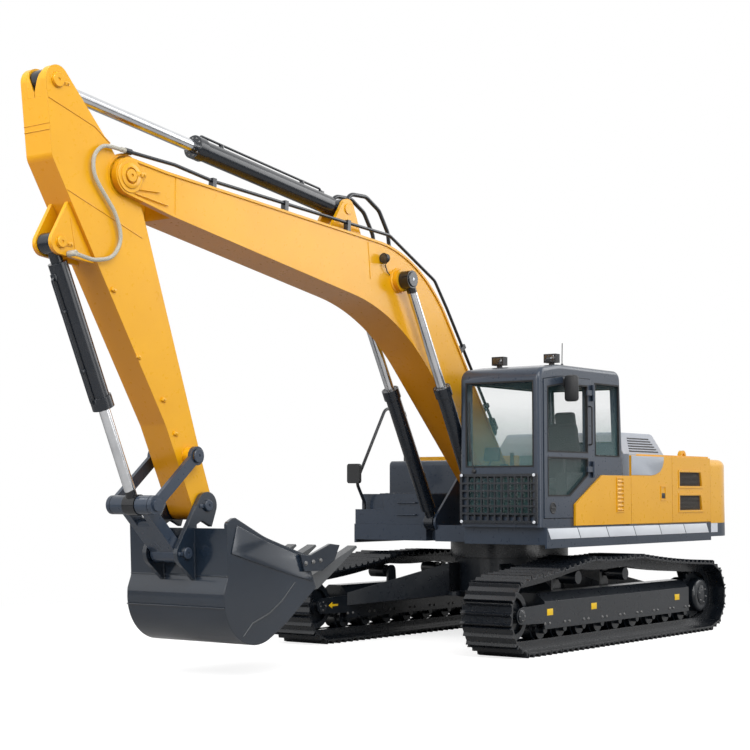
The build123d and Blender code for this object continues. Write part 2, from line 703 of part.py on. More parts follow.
def main_frame():
    """Deck with the two boom brackets, the boom's foot pin and the boom cylinders' base pins."""
    inner_y = BOOM_WIDTH / 2 + SIDE_GAP
    outer_y = inner_y + BRACKET_THICKNESS
    right_y, left_y = -DECK_HALF_WIDTH, DECK_HALF_WIDTH
    plan = [
        (DECK_REAR_X, right_y), (DECK_RIGHT_FRONT_X, right_y), (DECK_RIGHT_FRONT_X, -CAB_RIGHT_Y),
        (DECK_NOTCH_X, -CAB_RIGHT_Y), (DECK_NOTCH_X, -outer_y), (DECK_CENTRE_FRONT_X, -outer_y),
        (DECK_CENTRE_FRONT_X, outer_y), (DECK_NOTCH_X, outer_y), (DECK_NOTCH_X, CAB_RIGHT_Y),
        (DECK_LEFT_FRONT_X, CAB_RIGHT_Y), (DECK_LEFT_FRONT_X, left_y), (DECK_REAR_X, left_y),
    ]
    deck = extrude(Plane.XY.offset(DECK_BOTTOM_Z) * make_face(Polyline(*plan, close=True)),
                   DECK_TOP_Z - DECK_BOTTOM_Z)
    face = bracket_face()
    for low in (inner_y, -outer_y):
        deck += face_at_side(face, low, low + BRACKET_THICKNESS)
    deck += pin(BOOM_FOOT, BOOM_PIN_RADIUS, -outer_y - BRACKET_CAP, outer_y + BRACKET_CAP)
    for stub in both_sides(pin(BOOM_CYL_BASE, ARM_PIN_RADIUS, inner_y, CAB_RIGHT_Y - BRACKET_CAP)):
        deck += stub
    return deck


def counterweight():
    """Cast tail block, round in plan about the slew axis, with eased edges and two lifting eyes."""
    half = DECK_HALF_WIDTH + SKIRT_THICKNESS
    side_x = -math.sqrt(TAIL_RADIUS ** 2 - half ** 2)
    plan = make_face([
        Line((COUNTERWEIGHT_FRONT_X, -half), (side_x, -half)),
        ThreePointArc((side_x, -half), (-TAIL_RADIUS, 0), (side_x, half)),
        Line((side_x, half), (COUNTERWEIGHT_FRONT_X, half)),
        Line((COUNTERWEIGHT_FRONT_X, half), (COUNTERWEIGHT_FRONT_X, -half)),
    ])
    plan = fillet(plan.vertices().sort_by(Axis.X)[:2], TAIL_CORNER_RADIUS)
    body = extrude(Plane.XY.offset(COUNTERWEIGHT_BOTTOM_Z) * plan,
                   COUNTERWEIGHT_TOP_Z - COUNTERWEIGHT_BOTTOM_Z)
    rim = [e for e in body.edges().group_by(Axis.Z)[-1] if e.center().X < COUNTERWEIGHT_FRONT_X - 1]
    body = fillet(rim, TAIL_EDGE_RADIUS)
    place = (LIFT_EYE_X, COUNTERWEIGHT_TOP_Z + LIFT_EYE_RISE)
    root = (LIFT_EYE_X, COUNTERWEIGHT_TOP_Z - LIFT_EYE_RADIUS)
    eye = plate_face((place, LIFT_EYE_RADIUS), (root, LIFT_EYE_RADIUS))
    eye -= Pos(*place) * Circle(LIFT_EYE_BORE)
    for solid in both_sides(face_at_side(eye, LIFT_EYE_Y, LIFT_EYE_Y + LIFT_EYE_THICKNESS)):
        body += solid
    return body


# Cab


def cab_profile(wall):
    """Cab side view, moved inwards by a wall."""
    x0, x1 = CAB_REAR_X + wall, CAB_FRONT_X - wall
    z0, z1 = CAB_BOTTOM_Z + wall, CAB_ROOF_Z - wall
    points = [(x0, z0), (x1, z0), (x1, z1 - CAB_ROOF_FALL), (x1 - CAB_ROOF_CREST, z1),
              (x0 + CAB_REAR_LEAN, z1)]
    radii = [0, 0, CAB_ROOF_ROUND - wall, CAB_CREST_ROUND, CAB_REAR_ROUND - wall]
    return make_face(FilletPolyline(*points, radius=radii, close=True))


def door_outline(gap):
    """The door's side-view outline, smaller by a gap, with its slanted rear corner."""
    front, rear = DOOR_FRONT_X - gap, DOOR_REAR_X + gap
    top, bottom = DOOR_TOP_Z - gap, DOOR_BOTTOM_Z + gap
    return [
        (front, bottom), (front, top - DOOR_TOP_FALL), (DOOR_FRONT_X - DOOR_CREST, top), (rear, top),
        (rear, DOOR_WAIST_Z + gap), (DOOR_STEP_X + gap, DOOR_STEP_Z + gap), (DOOR_STEP_X + gap, bottom),
    ]


def door_panes(inset_by):
    """Upper and lower window outlines of the door, smaller by an inset."""
    front, rear = DOOR_FRONT_X - DOOR_FRAME - inset_by, DOOR_REAR_X + DOOR_FRAME + inset_by
    top, low = DOOR_TOP_Z - DOOR_FRAME - inset_by, DOOR_STEP_Z + DOOR_FRAME + inset_by
    above, below = DOOR_RAIL_Z + DOOR_RAIL_HALF + inset_by, DOOR_RAIL_Z - DOOR_RAIL_HALF - inset_by
    upper = [(front, above), (front, top - DOOR_TOP_FALL), (DOOR_FRONT_X - DOOR_CREST, top), (rear, top),
             (rear, above)]
    lower = [(front, low), (front, below), (rear, below), (rear, DOOR_WAIST_Z + DOOR_FRAME + inset_by),
             (DOOR_STEP_X + DOOR_FRAME + inset_by, low)]
    return [upper, lower]


def cab_rear(z):
    """Where the cab's leaning rear wall is at a height."""
    return CAB_REAR_X + CAB_REAR_LEAN * (z - CAB_BOTTOM_Z) / (CAB_ROOF_Z - CAB_BOTTOM_Z)


def window_block(wall, low, high, z_low, z_high, depth_low, depth_high):
    """A block through one cab wall, between two depths from the wall's outer face."""
    if wall == "front":
        return block(CAB_FRONT_X - depth_high, CAB_FRONT_X - depth_low, low, high, z_low, z_high)
    if wall == "rear":
        outline = [(cab_rear(z) + depth, z) for z, depth in (
            (z_low, depth_low), (z_low, depth_high), (z_high, depth_high), (z_high, depth_low))]
        return at_side(outline, low, high)
    if wall == "right":
        return block(low, high, CAB_RIGHT_Y + depth_low, CAB_RIGHT_Y + depth_high, z_low, z_high)
    return block(low, high, CAB_LEFT_Y - depth_high, CAB_LEFT_Y - depth_low, z_low, z_high)


def cab_frame():
    """Hollow cab of pillars, roof and floor, with its windows and its door opening cut out."""
    shell = face_at_side(cab_profile(0), CAB_RIGHT_Y, CAB_LEFT_Y)
    front = [e for e in shell.edges().filter_by(Axis.Z) if e.center().X > CAB_FRONT_X - 1]
    shell = fillet(front, CAB_EDGE_ROUND)
    shell -= face_at_side(cab_profile(CAB_WALL), CAB_RIGHT_Y + CAB_WALL, CAB_LEFT_Y - CAB_WALL)
    for wall, low, high, z_low, z_high in CAB_WINDOWS:
        shell -= window_block(wall, low, high, z_low, z_high, -1, CAB_WALL + 1)
    shell -= at_side(door_outline(0), CAB_LEFT_Y - CAB_WALL - 1, CAB_LEFT_Y + 1)
    x, y = HINGE_AXIS
    for z in HINGE_Z:
        for low in (z - HINGE_HEIGHT, z + HINGE_HEIGHT):
            shell += block(x - HINGE_RADIUS, x, CAB_LEFT_Y - 1, y, low, low + HINGE_HEIGHT)
            shell += bar((x, y, low), (x, y, low + HINGE_HEIGHT), HINGE_RADIUS)
        shell += bar((x, y, z - HINGE_HEIGHT), (x, y, z + HINGE_HEIGHT), HINGE_PIN_RADIUS)
    return shell


def cab_glass():
    """Fixed panes, each set in its opening."""
    g = GLASS_GAP
    depths = (GLASS_DEPTH, GLASS_DEPTH + GLASS_THICKNESS)
    return [window_block(wall, low + g, high - g, z_low + g, z_high - g, *depths)
            for wall, low, high, z_low, z_high in CAB_WINDOWS]


def cab_door():
    """Door leaf with two window openings and a strapped hinge knuckle at two heights."""
    face_y = CAB_LEFT_Y + DOOR_PROUD
    leaf = at_side(door_outline(DOOR_GAP), CAB_LEFT_Y - CAB_WALL, face_y)
    for outline in door_panes(0):
        leaf -= at_side(outline, CAB_LEFT_Y - CAB_WALL - 1, face_y + 1)
    x, y = HINGE_AXIS
    for z in HINGE_Z:
        low, high = z + PIN_GAP, z + HINGE_HEIGHT - PIN_GAP
        leaf += block(x, x + HINGE_STRAP, face_y, y, low, high)
        leaf += bar((x, y, low), (x, y, high), HINGE_RADIUS)
        leaf -= bar((x, y, low - 1), (x, y, high + 1), HINGE_PIN_RADIUS + PIN_GAP)
    return leaf


def cab_door_glass():
    """The door's two panes."""
    y = CAB_LEFT_Y - GLASS_DEPTH
    return [at_side(outline, y - GLASS_THICKNESS, y) for outline in door_panes(GLASS_GAP)]


# Rear body, tanks and fittings


def engine_housing():
    """Hollow engine bay with openings behind its side doors and under its hood."""
    half = DECK_HALF_WIDTH
    wall = HOUSE_WALL
    bay = block(DECK_REAR_X, HOUSE_FRONT_X, -half, half, DECK_TOP_Z, HOUSE_TOP_Z)
    bay -= block(DECK_REAR_X + wall, HOUSE_FRONT_X - wall, wall - half, half - wall,
                 DECK_TOP_Z, HOUSE_TOP_Z - wall)
    low, high = PANEL_BOTTOM_Z + wall, PANEL_TOP_Z - wall
    spans = (
        (DOOR_SPLIT_X + wall, HOUSE_FRONT_X - wall, half - wall - 1, half + 1),
        (DECK_REAR_X + wall, DOOR_SPLIT_X - wall, half - wall - 1, half + 1),
        (DECK_REAR_X + wall, DOOR_SPLIT_X - wall, -half - 1, wall + 1 - half),
    )
    for x_low, x_high, y_low, y_high in spans:
        bay -= block(x_low, x_high, y_low, y_high, low, high)
    bay -= block(HOOD_X[0] + wall, HOOD_X[1] - wall, HOOD_Y[0] + wall, HOOD_Y[1] - wall,
                 HOUSE_TOP_Z - wall - 1, HOUSE_TOP_Z + 1)
    return bay


def side_panel(x_low, x_high):
    """A flat side door of the engine bay, on the cab's side."""
    return block(x_low + PANEL_SEAM, x_high - PANEL_SEAM, PANEL_INNER_Y, PANEL_OUTER_Y,
                 PANEL_BOTTOM_Z, PANEL_TOP_Z)


def service_door():
    """Side door behind the cab."""
    return side_panel(DOOR_SPLIT_X, HOUSE_FRONT_X)


def radiator_door():
    """Side door with two slanted air openings."""
    panel = side_panel(DECK_REAR_X, DOOR_SPLIT_X)
    for z_low, z_high in GRILLE_ROWS:
        outline = [(GRILLE_X[0], z_low), (GRILLE_X[1], z_low), (GRILLE_X[1], z_high),
                   (GRILLE_X[0] + GRILLE_SLANT, z_high)]
        panel -= at_side(outline, PANEL_INNER_Y - 1, PANEL_OUTER_Y + 1)
    return panel


def pump_door():
    """Side door across from the radiator's."""
    return mirror(side_panel(DECK_REAR_X, DOOR_SPLIT_X), about=Plane.XZ)


def cab_side_panel():
    """Lower side panel beside the cab, with the slanted edge that follows the door."""
    front, rear = DOOR_STEP_X - PANEL_EDGE, HOUSE_FRONT_X + PANEL_SEAM
    outline = [
        (front, PANEL_BOTTOM_Z), (front, DOOR_STEP_Z - PANEL_EDGE), SIDE_PANEL_PEAK,
        (rear, SIDE_PANEL_PEAK[1]), (rear, PANEL_BOTTOM_Z),
    ]
    return at_side(outline, CAB_LEFT_Y + GLASS_GAP, PANEL_OUTER_Y)


def hood_form(inset_by, top):
    """A low frustum on the engine bay, smaller by an inset."""
    low = Pos((HOOD_X[0] + HOOD_X[1]) / 2, (HOOD_Y[0] + HOOD_Y[1]) / 2, HOUSE_TOP_Z + GLASS_GAP)
    size_x = HOOD_X[1] - HOOD_X[0] - 2 * inset_by
    size_y = HOOD_Y[1] - HOOD_Y[0] - 2 * inset_by
    top_face = low * Pos(0, 0, top - HOUSE_TOP_Z) * Rectangle(size_x - HOOD_SLOPE, size_y - 2 * HOOD_SLOPE)
    return loft([low * Rectangle(size_x, size_y), top_face])


def engine_hood():
    """Raised hood with sloped sides and rounded edges, open below."""
    outer = hood_form(0, HOOD_TOP_Z)
    sides = [e for e in outer.edges() if e.center().Z > HOUSE_TOP_Z + HOOD_WALL]
    return fillet(sides, HOOD_ROUND) - hood_form(HOOD_WALL, HOOD_TOP_Z - HOOD_WALL)


def engine():
    """The engine's mass as one block on the deck."""
    mass = block(*ENGINE_X, *ENGINE_Y, DECK_TOP_Z, ENGINE_TOP_Z)
    return chamfer(mass.edges().filter_by(Axis.X), ENGINE_BEVEL)


def deck_skirts():
    """Edge plates below the side panels."""
    left = block(DECK_REAR_X, DECK_LEFT_FRONT_X, DECK_HALF_WIDTH, PANEL_OUTER_Y,
                 DECK_BOTTOM_Z - SKIRT_DROP, DECK_TOP_Z)
    right = block(DECK_REAR_X, DECK_RIGHT_FRONT_X, -PANEL_OUTER_Y, -DECK_HALF_WIDTH,
                  DECK_BOTTOM_Z - SKIRT_DROP, DECK_TOP_Z)
    return [left, right]


def fuel_tank():
    """Tank on the right, round along its upper edges."""
    tank = block(*TANK_X, *TANK_Y, DECK_TOP_Z, TANK_TOP_Z)
    return fillet(tank.edges().filter_by(Axis.Y).sort_by(Axis.Z)[-2:], TANK_ROUND)


def tool_box():
    """Front right box with a step cut in its outer front corner."""
    box = block(TANK_X[1], TOOL_BOX_FRONT_X, *TANK_Y, DECK_TOP_Z, TOOL_BOX_TOP_Z)
    return box - block(TOOL_BOX_FRONT_X - STEP_DEPTH, TOOL_BOX_FRONT_X + 1, TANK_Y[0] - 1,
                       TANK_Y[0] + STEP_WIDTH, DECK_TOP_Z + STEP_RISE, TOOL_BOX_TOP_Z + 1)


def guard_rail():
    """Bent tube rail from the step up in front of the tool box and back down to the tank."""
    path = FilletPolyline(*[(x, RAIL_Y, z) for x, z in RAIL_PATH], radius=list(RAIL_BENDS))
    return sweep(Plane(origin=path @ 0, z_dir=path % 0) * Circle(RAIL_RADIUS), path=path)


def right_mirror():
    """Mirror head clamped in front of the guard rail."""
    x, z = RIGHT_MIRROR
    head = block(x, x + MIRROR_DEPTH, RAIL_Y - MIRROR_HALF_WIDTH, RAIL_Y + MIRROR_HALF_WIDTH,
                 z - MIRROR_HALF_HEIGHT, z + MIRROR_HALF_HEIGHT)
    head = fillet(head.edges().filter_by(Axis.X), MIRROR_ROUND)
    (x0, z0), (x1, z1) = RAIL_PATH[RAIL_MIRROR_RUN:RAIL_MIRROR_RUN + 2]
    rail_x = x0 + (x1 - x0) * (z - z0) / (z1 - z0)
    clamp = bar((rail_x, RAIL_Y, z), (x, RAIL_Y, z), MIRROR_ARM_RADIUS)
    return head + clamp - bar((x0, RAIL_Y, z0), (x1, RAIL_Y, z1), RAIL_RADIUS + GLASS_GAP)


def left_mirror():
    """Mirror head on a short arm from the door's upper edge."""
    x, z = LEFT_MIRROR
    face_y = CAB_LEFT_Y + DOOR_PROUD
    inner_y = face_y + MIRROR_OUT
    head = block(x, x + MIRROR_DEPTH, inner_y, inner_y + MIRROR_LEFT_WIDTH,
                 z - MIRROR_HALF_HEIGHT, z + MIRROR_HALF_HEIGHT)
    head = fillet(head.edges().filter_by(Axis.X), MIRROR_ROUND)
    arm_z = z + MIRROR_HALF_HEIGHT - 2 * MIRROR_ROUND
    arm_x = x + MIRROR_DEPTH / 2
    return head + bar((arm_x, face_y, arm_z), (arm_x, inner_y + MIRROR_ARM_LAP, arm_z), MIRROR_ARM_RADIUS)


def front_guard():
    """Grid of square holes in front of the cab's lower window, on four bolted stand-offs."""
    x0 = CAB_FRONT_X + GUARD_STANDOFF
    x1 = x0 + GUARD_THICKNESS
    guard = block(x0, x1, *GUARD_Y, *GUARD_Z)
    y_low, z_low = GUARD_Y[0] + GUARD_RIM, GUARD_Z[0] + GUARD_RIM
    pitch_y = (GUARD_Y[1] - GUARD_RIM + GUARD_BAR - y_low) / GUARD_COLUMNS
    pitch_z = (GUARD_Z[1] - GUARD_RIM + GUARD_BAR - z_low) / GUARD_ROWS
    hole = Box(3 * GUARD_THICKNESS, pitch_y - GUARD_BAR, pitch_z - GUARD_BAR,
               align=(Align.CENTER, Align.MIN, Align.MIN))
    guard -= [Pos(x0, y_low + i * pitch_y, z_low + j * pitch_z) * hole
              for i in range(GUARD_COLUMNS) for j in range(GUARD_ROWS)]
    inset_by = GUARD_RIM / 2
    for y in (GUARD_Y[0] + 2 * inset_by, GUARD_Y[1] - 2 * inset_by):
        for z in (GUARD_Z[0] + inset_by, GUARD_Z[1] - inset_by):
            guard += bar((CAB_FRONT_X, y, z), (x1 + GUARD_BOLT_RADIUS, y, z), GUARD_BOLT_RADIUS)
    return guard


def operator_seat():
    """Seat pad and leaning backrest on a pedestal."""
    floor = CAB_BOTTOM_Z + CAB_WALL
    x = SEAT_X
    pad_low, pad_high = floor + SEAT_PEDESTAL, floor + SEAT_PEDESTAL + SEAT_PAD
    pedestal = block(x + SEAT_PAD, x + SEAT_LENGTH - SEAT_PAD, SEAT_Y - SEAT_HALF / 2, SEAT_Y + SEAT_HALF / 2,
                     floor, pad_low)
    pad = block(x, x + SEAT_LENGTH, SEAT_Y - SEAT_HALF, SEAT_Y + SEAT_HALF, pad_low, pad_high)
    pad = fillet(pad.edges().filter_by(Axis.Y), SEAT_ROUND)
    top = pad_high + SEAT_BACK
    back = [(x, pad_low), (x + SEAT_PAD, pad_low), (x, top), (x - SEAT_PAD, top)]
    return pedestal + pad + at_side(back, SEAT_Y - SEAT_HALF, SEAT_Y + SEAT_HALF)


def control_consoles():
    """Side consoles with their levers."""
    floor = CAB_BOTTOM_Z + CAB_WALL
    consoles = []
    for y in (SEAT_Y - CONSOLE_OUT, SEAT_Y + CONSOLE_OUT):
        front = SEAT_X + CONSOLE_LENGTH
        top = floor + CONSOLE_HEIGHT
        console = block(SEAT_X, front, y - CONSOLE_HALF, y + CONSOLE_HALF, floor, top)
        lever = (front - CONSOLE_HALF, y)
        consoles.append(console + bar((*lever, top - LEVER_SINK), (*lever, top + LEVER_HEIGHT), LEVER_RADIUS))
    return consoles


def roof_lamps():
    """Work lamps on the front of the cab's roof."""
    lamps = []
    for y in (CAB_RIGHT_Y + LAMP_INSET, CAB_LEFT_Y - LAMP_INSET):
        foot = block(LAMP_X - LAMP_DEPTH / 4, LAMP_X + LAMP_DEPTH / 4, y - LAMP_DEPTH / 4, y + LAMP_DEPTH / 4,
                     CAB_ROOF_Z, CAB_ROOF_Z + LAMP_FOOT)
        head = block(LAMP_X - LAMP_DEPTH / 2, LAMP_X + LAMP_DEPTH / 2, y - LAMP_HALF, y + LAMP_HALF,
                     CAB_ROOF_Z + LAMP_FOOT, CAB_ROOF_Z + LAMP_FOOT + LAMP_HEIGHT)
        lamps.append(foot + head)
    return lamps


# Cylinders


def tube_part(seat, radius, start, end):
    """A round bar on a cylinder's axis, between two distances from its base pin."""
    on_end = (Align.CENTER, Align.CENTER, Align.MIN)
    return seat * Pos(0, 0, start) * Cylinder(radius, end - start, align=on_end)


def cylinder_barrel(name, y):
    """Barrel with a bored base eye on a neck, an end collar and the blind bore of the rod."""
    base, eye, length, inside, radius, rod_radius, eye_half, eye_radius = CYLINDERS[name]
    seat = Plane(origin=(base[0], y, base[1]), z_dir=(eye[0] - base[0], 0, eye[1] - base[1]))
    start = eye_radius + CYLINDER_NECK
    body = tube_part(seat, radius, start, length)
    body += tube_part(seat, CYLINDER_NECK_RADIUS, 0, start)
    body += tube_part(seat, radius + CYLINDER_COLLAR, length - CYLINDER_COLLAR_LENGTH, length)
    body += pin(base, eye_radius, y - eye_half, y + eye_half)
    body -= pin(base, ARM_PIN_RADIUS + PIN_GAP, y - eye_half - 1, y + eye_half + 1)
    return body - tube_part(seat, rod_radius + PIN_GAP, start + CYLINDER_HEAD, length + 1)


def cylinder_rod(name, y):
    """Rod from inside its barrel to the eye at its far end."""
    base, eye, length, inside, radius, rod_radius, eye_half, eye_radius = CYLINDERS[name]
    seat = Plane(origin=(base[0], y, base[1]), z_dir=(eye[0] - base[0], 0, eye[1] - base[1]))
    rod = tube_part(seat, rod_radius, inside, math.dist(base, eye))
    rod += pin(eye, eye_radius, y - eye_half, y + eye_half)
    return rod - pin(eye, ARM_PIN_RADIUS + PIN_GAP, y - eye_half - 1, y + eye_half + 1)


# Boom, arm and bucket


def tangent(place, centre, radius, side):
    """Where a line from a place touches a circle, on the side that the sign gives."""
    reach = math.dist(place, centre)
    heading = math.degrees(math.atan2(centre[1] - place[1], centre[0] - place[0]))
    swing = math.degrees(math.asin(radius / reach))
    length = math.sqrt(reach ** 2 - radius ** 2)
    return polar(place, length, heading + side * swing)


def boom_face():
    """Boom side view: two straight limbs joined by a long bend, round at the foot and the tip."""
    foot_back = tangent(BOOM_BACK_CORNER, BOOM_FOOT, BOOM_FOOT_RADIUS, -1)
    foot_belly = tangent(BOOM_BELLY_CORNER, BOOM_FOOT, BOOM_FOOT_RADIUS, 1)
    tip_back = tangent(BOOM_BACK_TIP, BOOM_TIP, BOOM_TIP_RADIUS, 1)
    tip_belly = tangent(BOOM_BELLY_TIP, BOOM_TIP, BOOM_TIP_RADIUS, -1)
    back = FilletPolyline(foot_back, BOOM_BACK_CORNER, BOOM_BACK_TIP, tip_back,
                          radius=[BOOM_BACK_BEND, BOOM_TIP_BEND])
    belly = FilletPolyline(tip_belly, BOOM_BELLY_TIP, BOOM_BELLY_CORNER, foot_belly,
                           radius=[BOOM_TIP_BEND, BOOM_BELLY_BEND])
    nose = ThreePointArc(tip_back, polar(BOOM_TIP, BOOM_TIP_RADIUS, 0), tip_belly)
    heel = ThreePointArc(foot_belly, polar(BOOM_FOOT, BOOM_FOOT_RADIUS, BOOM_HEEL_ANGLE), foot_back)
    return make_face([*back.edges(), *nose.edges(), *belly.edges(), *heel.edges()])


def boom():
    """Box boom with inset side webs, a forked tip with its pin, and the cylinders' brackets."""
    half = BOOM_WIDTH / 2
    face = boom_face()
    body = face_at_side(face, -half, half)
    web = offset(face, -BOOM_FLANGE)
    for low in (-half - 1, half - BOOM_WEB_INSET):
        body -= face_at_side(web, low, low + BOOM_WEB_INSET + 1)
    gap = ARM_WIDTH / 2 + SIDE_GAP
    reach = 3 * BOOM_TIP_RADIUS
    body -= block(BOOM_FORK_X, BOOM_TIP[0] + reach, -gap, gap, BOOM_TIP[1] - reach, BOOM_TIP[1] + reach)
    cheek = pin(BOOM_TIP, BOOM_TIP_RADIUS - BOOM_BOSS_STEP, gap, half)
    for boss in both_sides(cheek):
        body += boss
    body += pin(BOOM_FOOT, BOOM_FOOT_RADIUS - BOOM_BOSS_STEP, -half, half)
    body += pin(BOOM_TIP, BOOM_PIN_RADIUS, -half - BRACKET_CAP, half + BRACKET_CAP)
    body -= pin(BOOM_FOOT, BOOM_PIN_RADIUS + PIN_GAP, -half - 1, half + 1)
    boss_y = BOOM_CYL_Y - CYLINDERS["boom"][6] - SIDE_GAP
    body += pin(BOOM_CYL_EYE, BOOM_EYE_BOSS, -boss_y, boss_y)
    low = ROD_EYE_HALF + SIDE_GAP
    x, z = ARM_CYL_BASE
    toes = [((x + run, z - BASE_EAR_DROP), BASE_EAR_TOE) for run in BASE_EAR_RUN]
    ear = plate_face((ARM_CYL_BASE, BASE_EAR_RADIUS), *toes)
    for solid in both_sides(face_at_side(ear, low, low + BASE_EAR_THICKNESS)):
        body += solid
    end = low + BASE_EAR_THICKNESS + BRACKET_CAP
    return body + pin(ARM_CYL_BASE, ARM_PIN_RADIUS, -end, end)


def boom_back_point(limb, distance, lift):
    """A side-view place above the boom's back, by its distance from the corner along one limb."""
    foot = tangent(BOOM_BACK_CORNER, BOOM_FOOT, BOOM_FOOT_RADIUS, -1)
    end = foot if limb == "foot" else BOOM_BACK_TIP
    along = (Vector(*end) - Vector(*BOOM_BACK_CORNER)).normalized()
    up = Vector(along.Y, -along.X) if limb == "foot" else Vector(-along.Y, along.X)
    return Vector(*BOOM_BACK_CORNER) + along * distance + up * lift, along, up


def pipe_lift(limb, distance):
    """The pipe's lift above one limb, between the route's stations."""
    stations = sorted((d, lift) for name, d, lift in PIPE_ROUTE if name == limb)
    for (d0, lift0), (d1, lift1) in zip(stations, stations[1:]):
        if d0 <= distance <= d1:
            return lift0 + (lift1 - lift0) * (distance - d0) / (d1 - d0)


def boom_pipe():
    """Steel pipe on the boom's left edge, with its clips and the union nut at its far end."""
    places = [boom_back_point(*station)[0] for station in PIPE_ROUTE]
    path = FilletPolyline(*[(p.X, PIPE_Y, p.Y) for p in places], radius=PIPE_BEND)
    pipe = sweep(Plane(origin=path @ 0, z_dir=path % 0) * Circle(PIPE_RADIUS), path=path)
    nut_axis = (path % 1) * PIPE_NUT_LENGTH
    pipe += bar(tuple((path @ 1) - nut_axis), tuple(path @ 1), PIPE_NUT_RADIUS)
    for limb, distance in PIPE_CLIPS:
        seat, along, up = boom_back_point(limb, distance, GLASS_GAP)
        plane = Plane(origin=(seat.X, PIPE_Y, seat.Y), x_dir=(along.X, 0, along.Y), z_dir=(up.X, 0, up.Y))
        height = pipe_lift(limb, distance) + PIPE_RADIUS + CLIP_TOP
        pipe += plane * Box(CLIP_LENGTH, CLIP_WIDTH, height, align=(Align.CENTER, Align.CENTER, Align.MIN))
    return pipe


def cylinder_loop(y):
    """Hose from the arm cylinder's bracket back and down into the boom."""
    x, z = ARM_CYL_BASE
    path = FilletPolyline(*[(x + dx, y, z + dz) for dx, dz in LOOP_ROUTE], radius=LOOP_BEND)
    hose = sweep(Plane(origin=path @ 0, z_dir=path % 0) * Circle(LOOP_RADIUS), path=path)
    bracket = pin(ARM_CYL_BASE, BASE_EAR_RADIUS, y - BASE_EAR_THICKNESS, y + BASE_EAR_THICKNESS)
    return hose - bracket - face_at_side(boom_face(), -BOOM_WIDTH, BOOM_WIDTH)


def boom_pipes():
    """Both edges' pipes and the two hoses behind the arm cylinder."""
    return both_sides(boom_pipe()) + [cylinder_loop(y) for y in (LOOP_Y, -LOOP_Y)]


def arm_hoses():
    """Hose from the boom's left pipe, in a double bend beside the arm, to the bucket cylinder's base."""
    start = boom_back_point(*PIPE_ROUTE[-1])[0]
    points = [(start.X + dx, ARM_HOSE_Y, start.Y + dz) for dx, dz, bend in ARM_HOSE_ROUTE]
    bends = [bend for dx, dz, bend in ARM_HOSE_ROUTE[1:-1]]
    path = FilletPolyline(*points, radius=bends)
    hose = sweep(Plane(origin=path @ 0, z_dir=path % 0) * Circle(ARM_HOSE_RADIUS), path=path)
    end = points[-1]
    ear_y = ROD_EYE_HALF + SIDE_GAP + BASE_EAR_THICKNESS + GLASS_GAP
    return hose + bar((end[0], ear_y, end[2]), (end[0], ARM_HOSE_Y + ARM_HOSE_NUT, end[2]), ARM_HOSE_NUT)


def arm_outline_face():
    """Arm side view: round head and tip, a peaked front and a straight back."""
    peak, taper = arm_point(*ARM_PEAK), arm_point(*ARM_FRONT_TAPER)
    back_high, back_low = [arm_point(s, -ARM_BACK_DEPTH) for s in ARM_BACK_RUN]
    neck = arm_point(*ARM_NECK)
    points = [
        tangent(peak, ARM_EYE, ARM_HEAD_RADIUS, -1), peak, taper,
        tangent(taper, BUCKET_PIN, ARM_TIP_RADIUS, 1), tangent(back_low, BUCKET_PIN, ARM_TIP_RADIUS, -1),
        back_low, back_high, neck, tangent(neck, ARM_EYE, ARM_HEAD_RADIUS, 1),
    ]
    radii = [0, ARM_PEAK_BEND, ARM_TAPER_BEND, 0, 0, ARM_PEAK_BEND, ARM_TAPER_BEND, ARM_PEAK_BEND, 0]
    body = make_face(FilletPolyline(*points, radius=radii, close=True))
    eyes = ((ARM_EYE, ARM_HEAD_RADIUS), (BUCKET_PIN, ARM_TIP_RADIUS), (BOOM_TIP, ARM_BOSS_RADIUS))
    for place, radius in eyes:
        body += Pos(*place) * Circle(radius)
    return body


def arm():
    """Box arm with a forked head, a boss at the boom, base ears and the rocker's stubs."""
    half = ARM_WIDTH / 2
    body = face_at_side(arm_outline_face(), -half, half)
    slot = make_face(Polyline(*[arm_point(s, n) for s, n in ARM_SLOT], close=True))
    body -= face_at_side(slot, -ARM_EYE_SLOT / 2, ARM_EYE_SLOT / 2)
    body -= pin(BOOM_TIP, BOOM_PIN_RADIUS + PIN_GAP, -half - 1, half + 1)
    body -= pin(BUCKET_PIN, ARM_PIN_RADIUS + PIN_GAP, -half - 1, half + 1)
    low = ROD_EYE_HALF + SIDE_GAP
    toes = [(arm_point(s, n), BASE_EAR_TOE) for s, n in ARM_EAR_TOES]
    ear = plate_face((BUCKET_CYL_EAR, BASE_EAR_RADIUS), *toes)
    for solid in both_sides(face_at_side(ear, low, low + BASE_EAR_THICKNESS)):
        body += solid
    end = low + BASE_EAR_THICKNESS + BRACKET_CAP
    body += pin(BUCKET_CYL_EAR, ARM_PIN_RADIUS, -end, end)
    stub = ROCKER_INNER_Y + ROCKER_THICKNESS + BRACKET_CAP
    body += pin(ROCKER_PIN, ARM_PIN_RADIUS, -stub, stub)
    body += pin(ROCKER_PIN, ROCKER_BOSS_RADIUS, SIDE_GAP - ROCKER_INNER_Y, ROCKER_INNER_Y - SIDE_GAP)
    for cap in both_sides(pin(ARM_EYE, ARM_PIN_RADIUS + BRACKET_CAP, half - 1, half + BRACKET_CAP)):
        body += cap
    return body


def link_face(place_a, place_b):
    """Side view of a straight link with two round eyes and a narrower waist."""
    waist = plate_face((place_a, LINK_WAIST), (place_b, LINK_WAIST))
    return waist + Pos(*place_a) * Circle(LINK_EYE_RADIUS) + Pos(*place_b) * Circle(LINK_EYE_RADIUS)


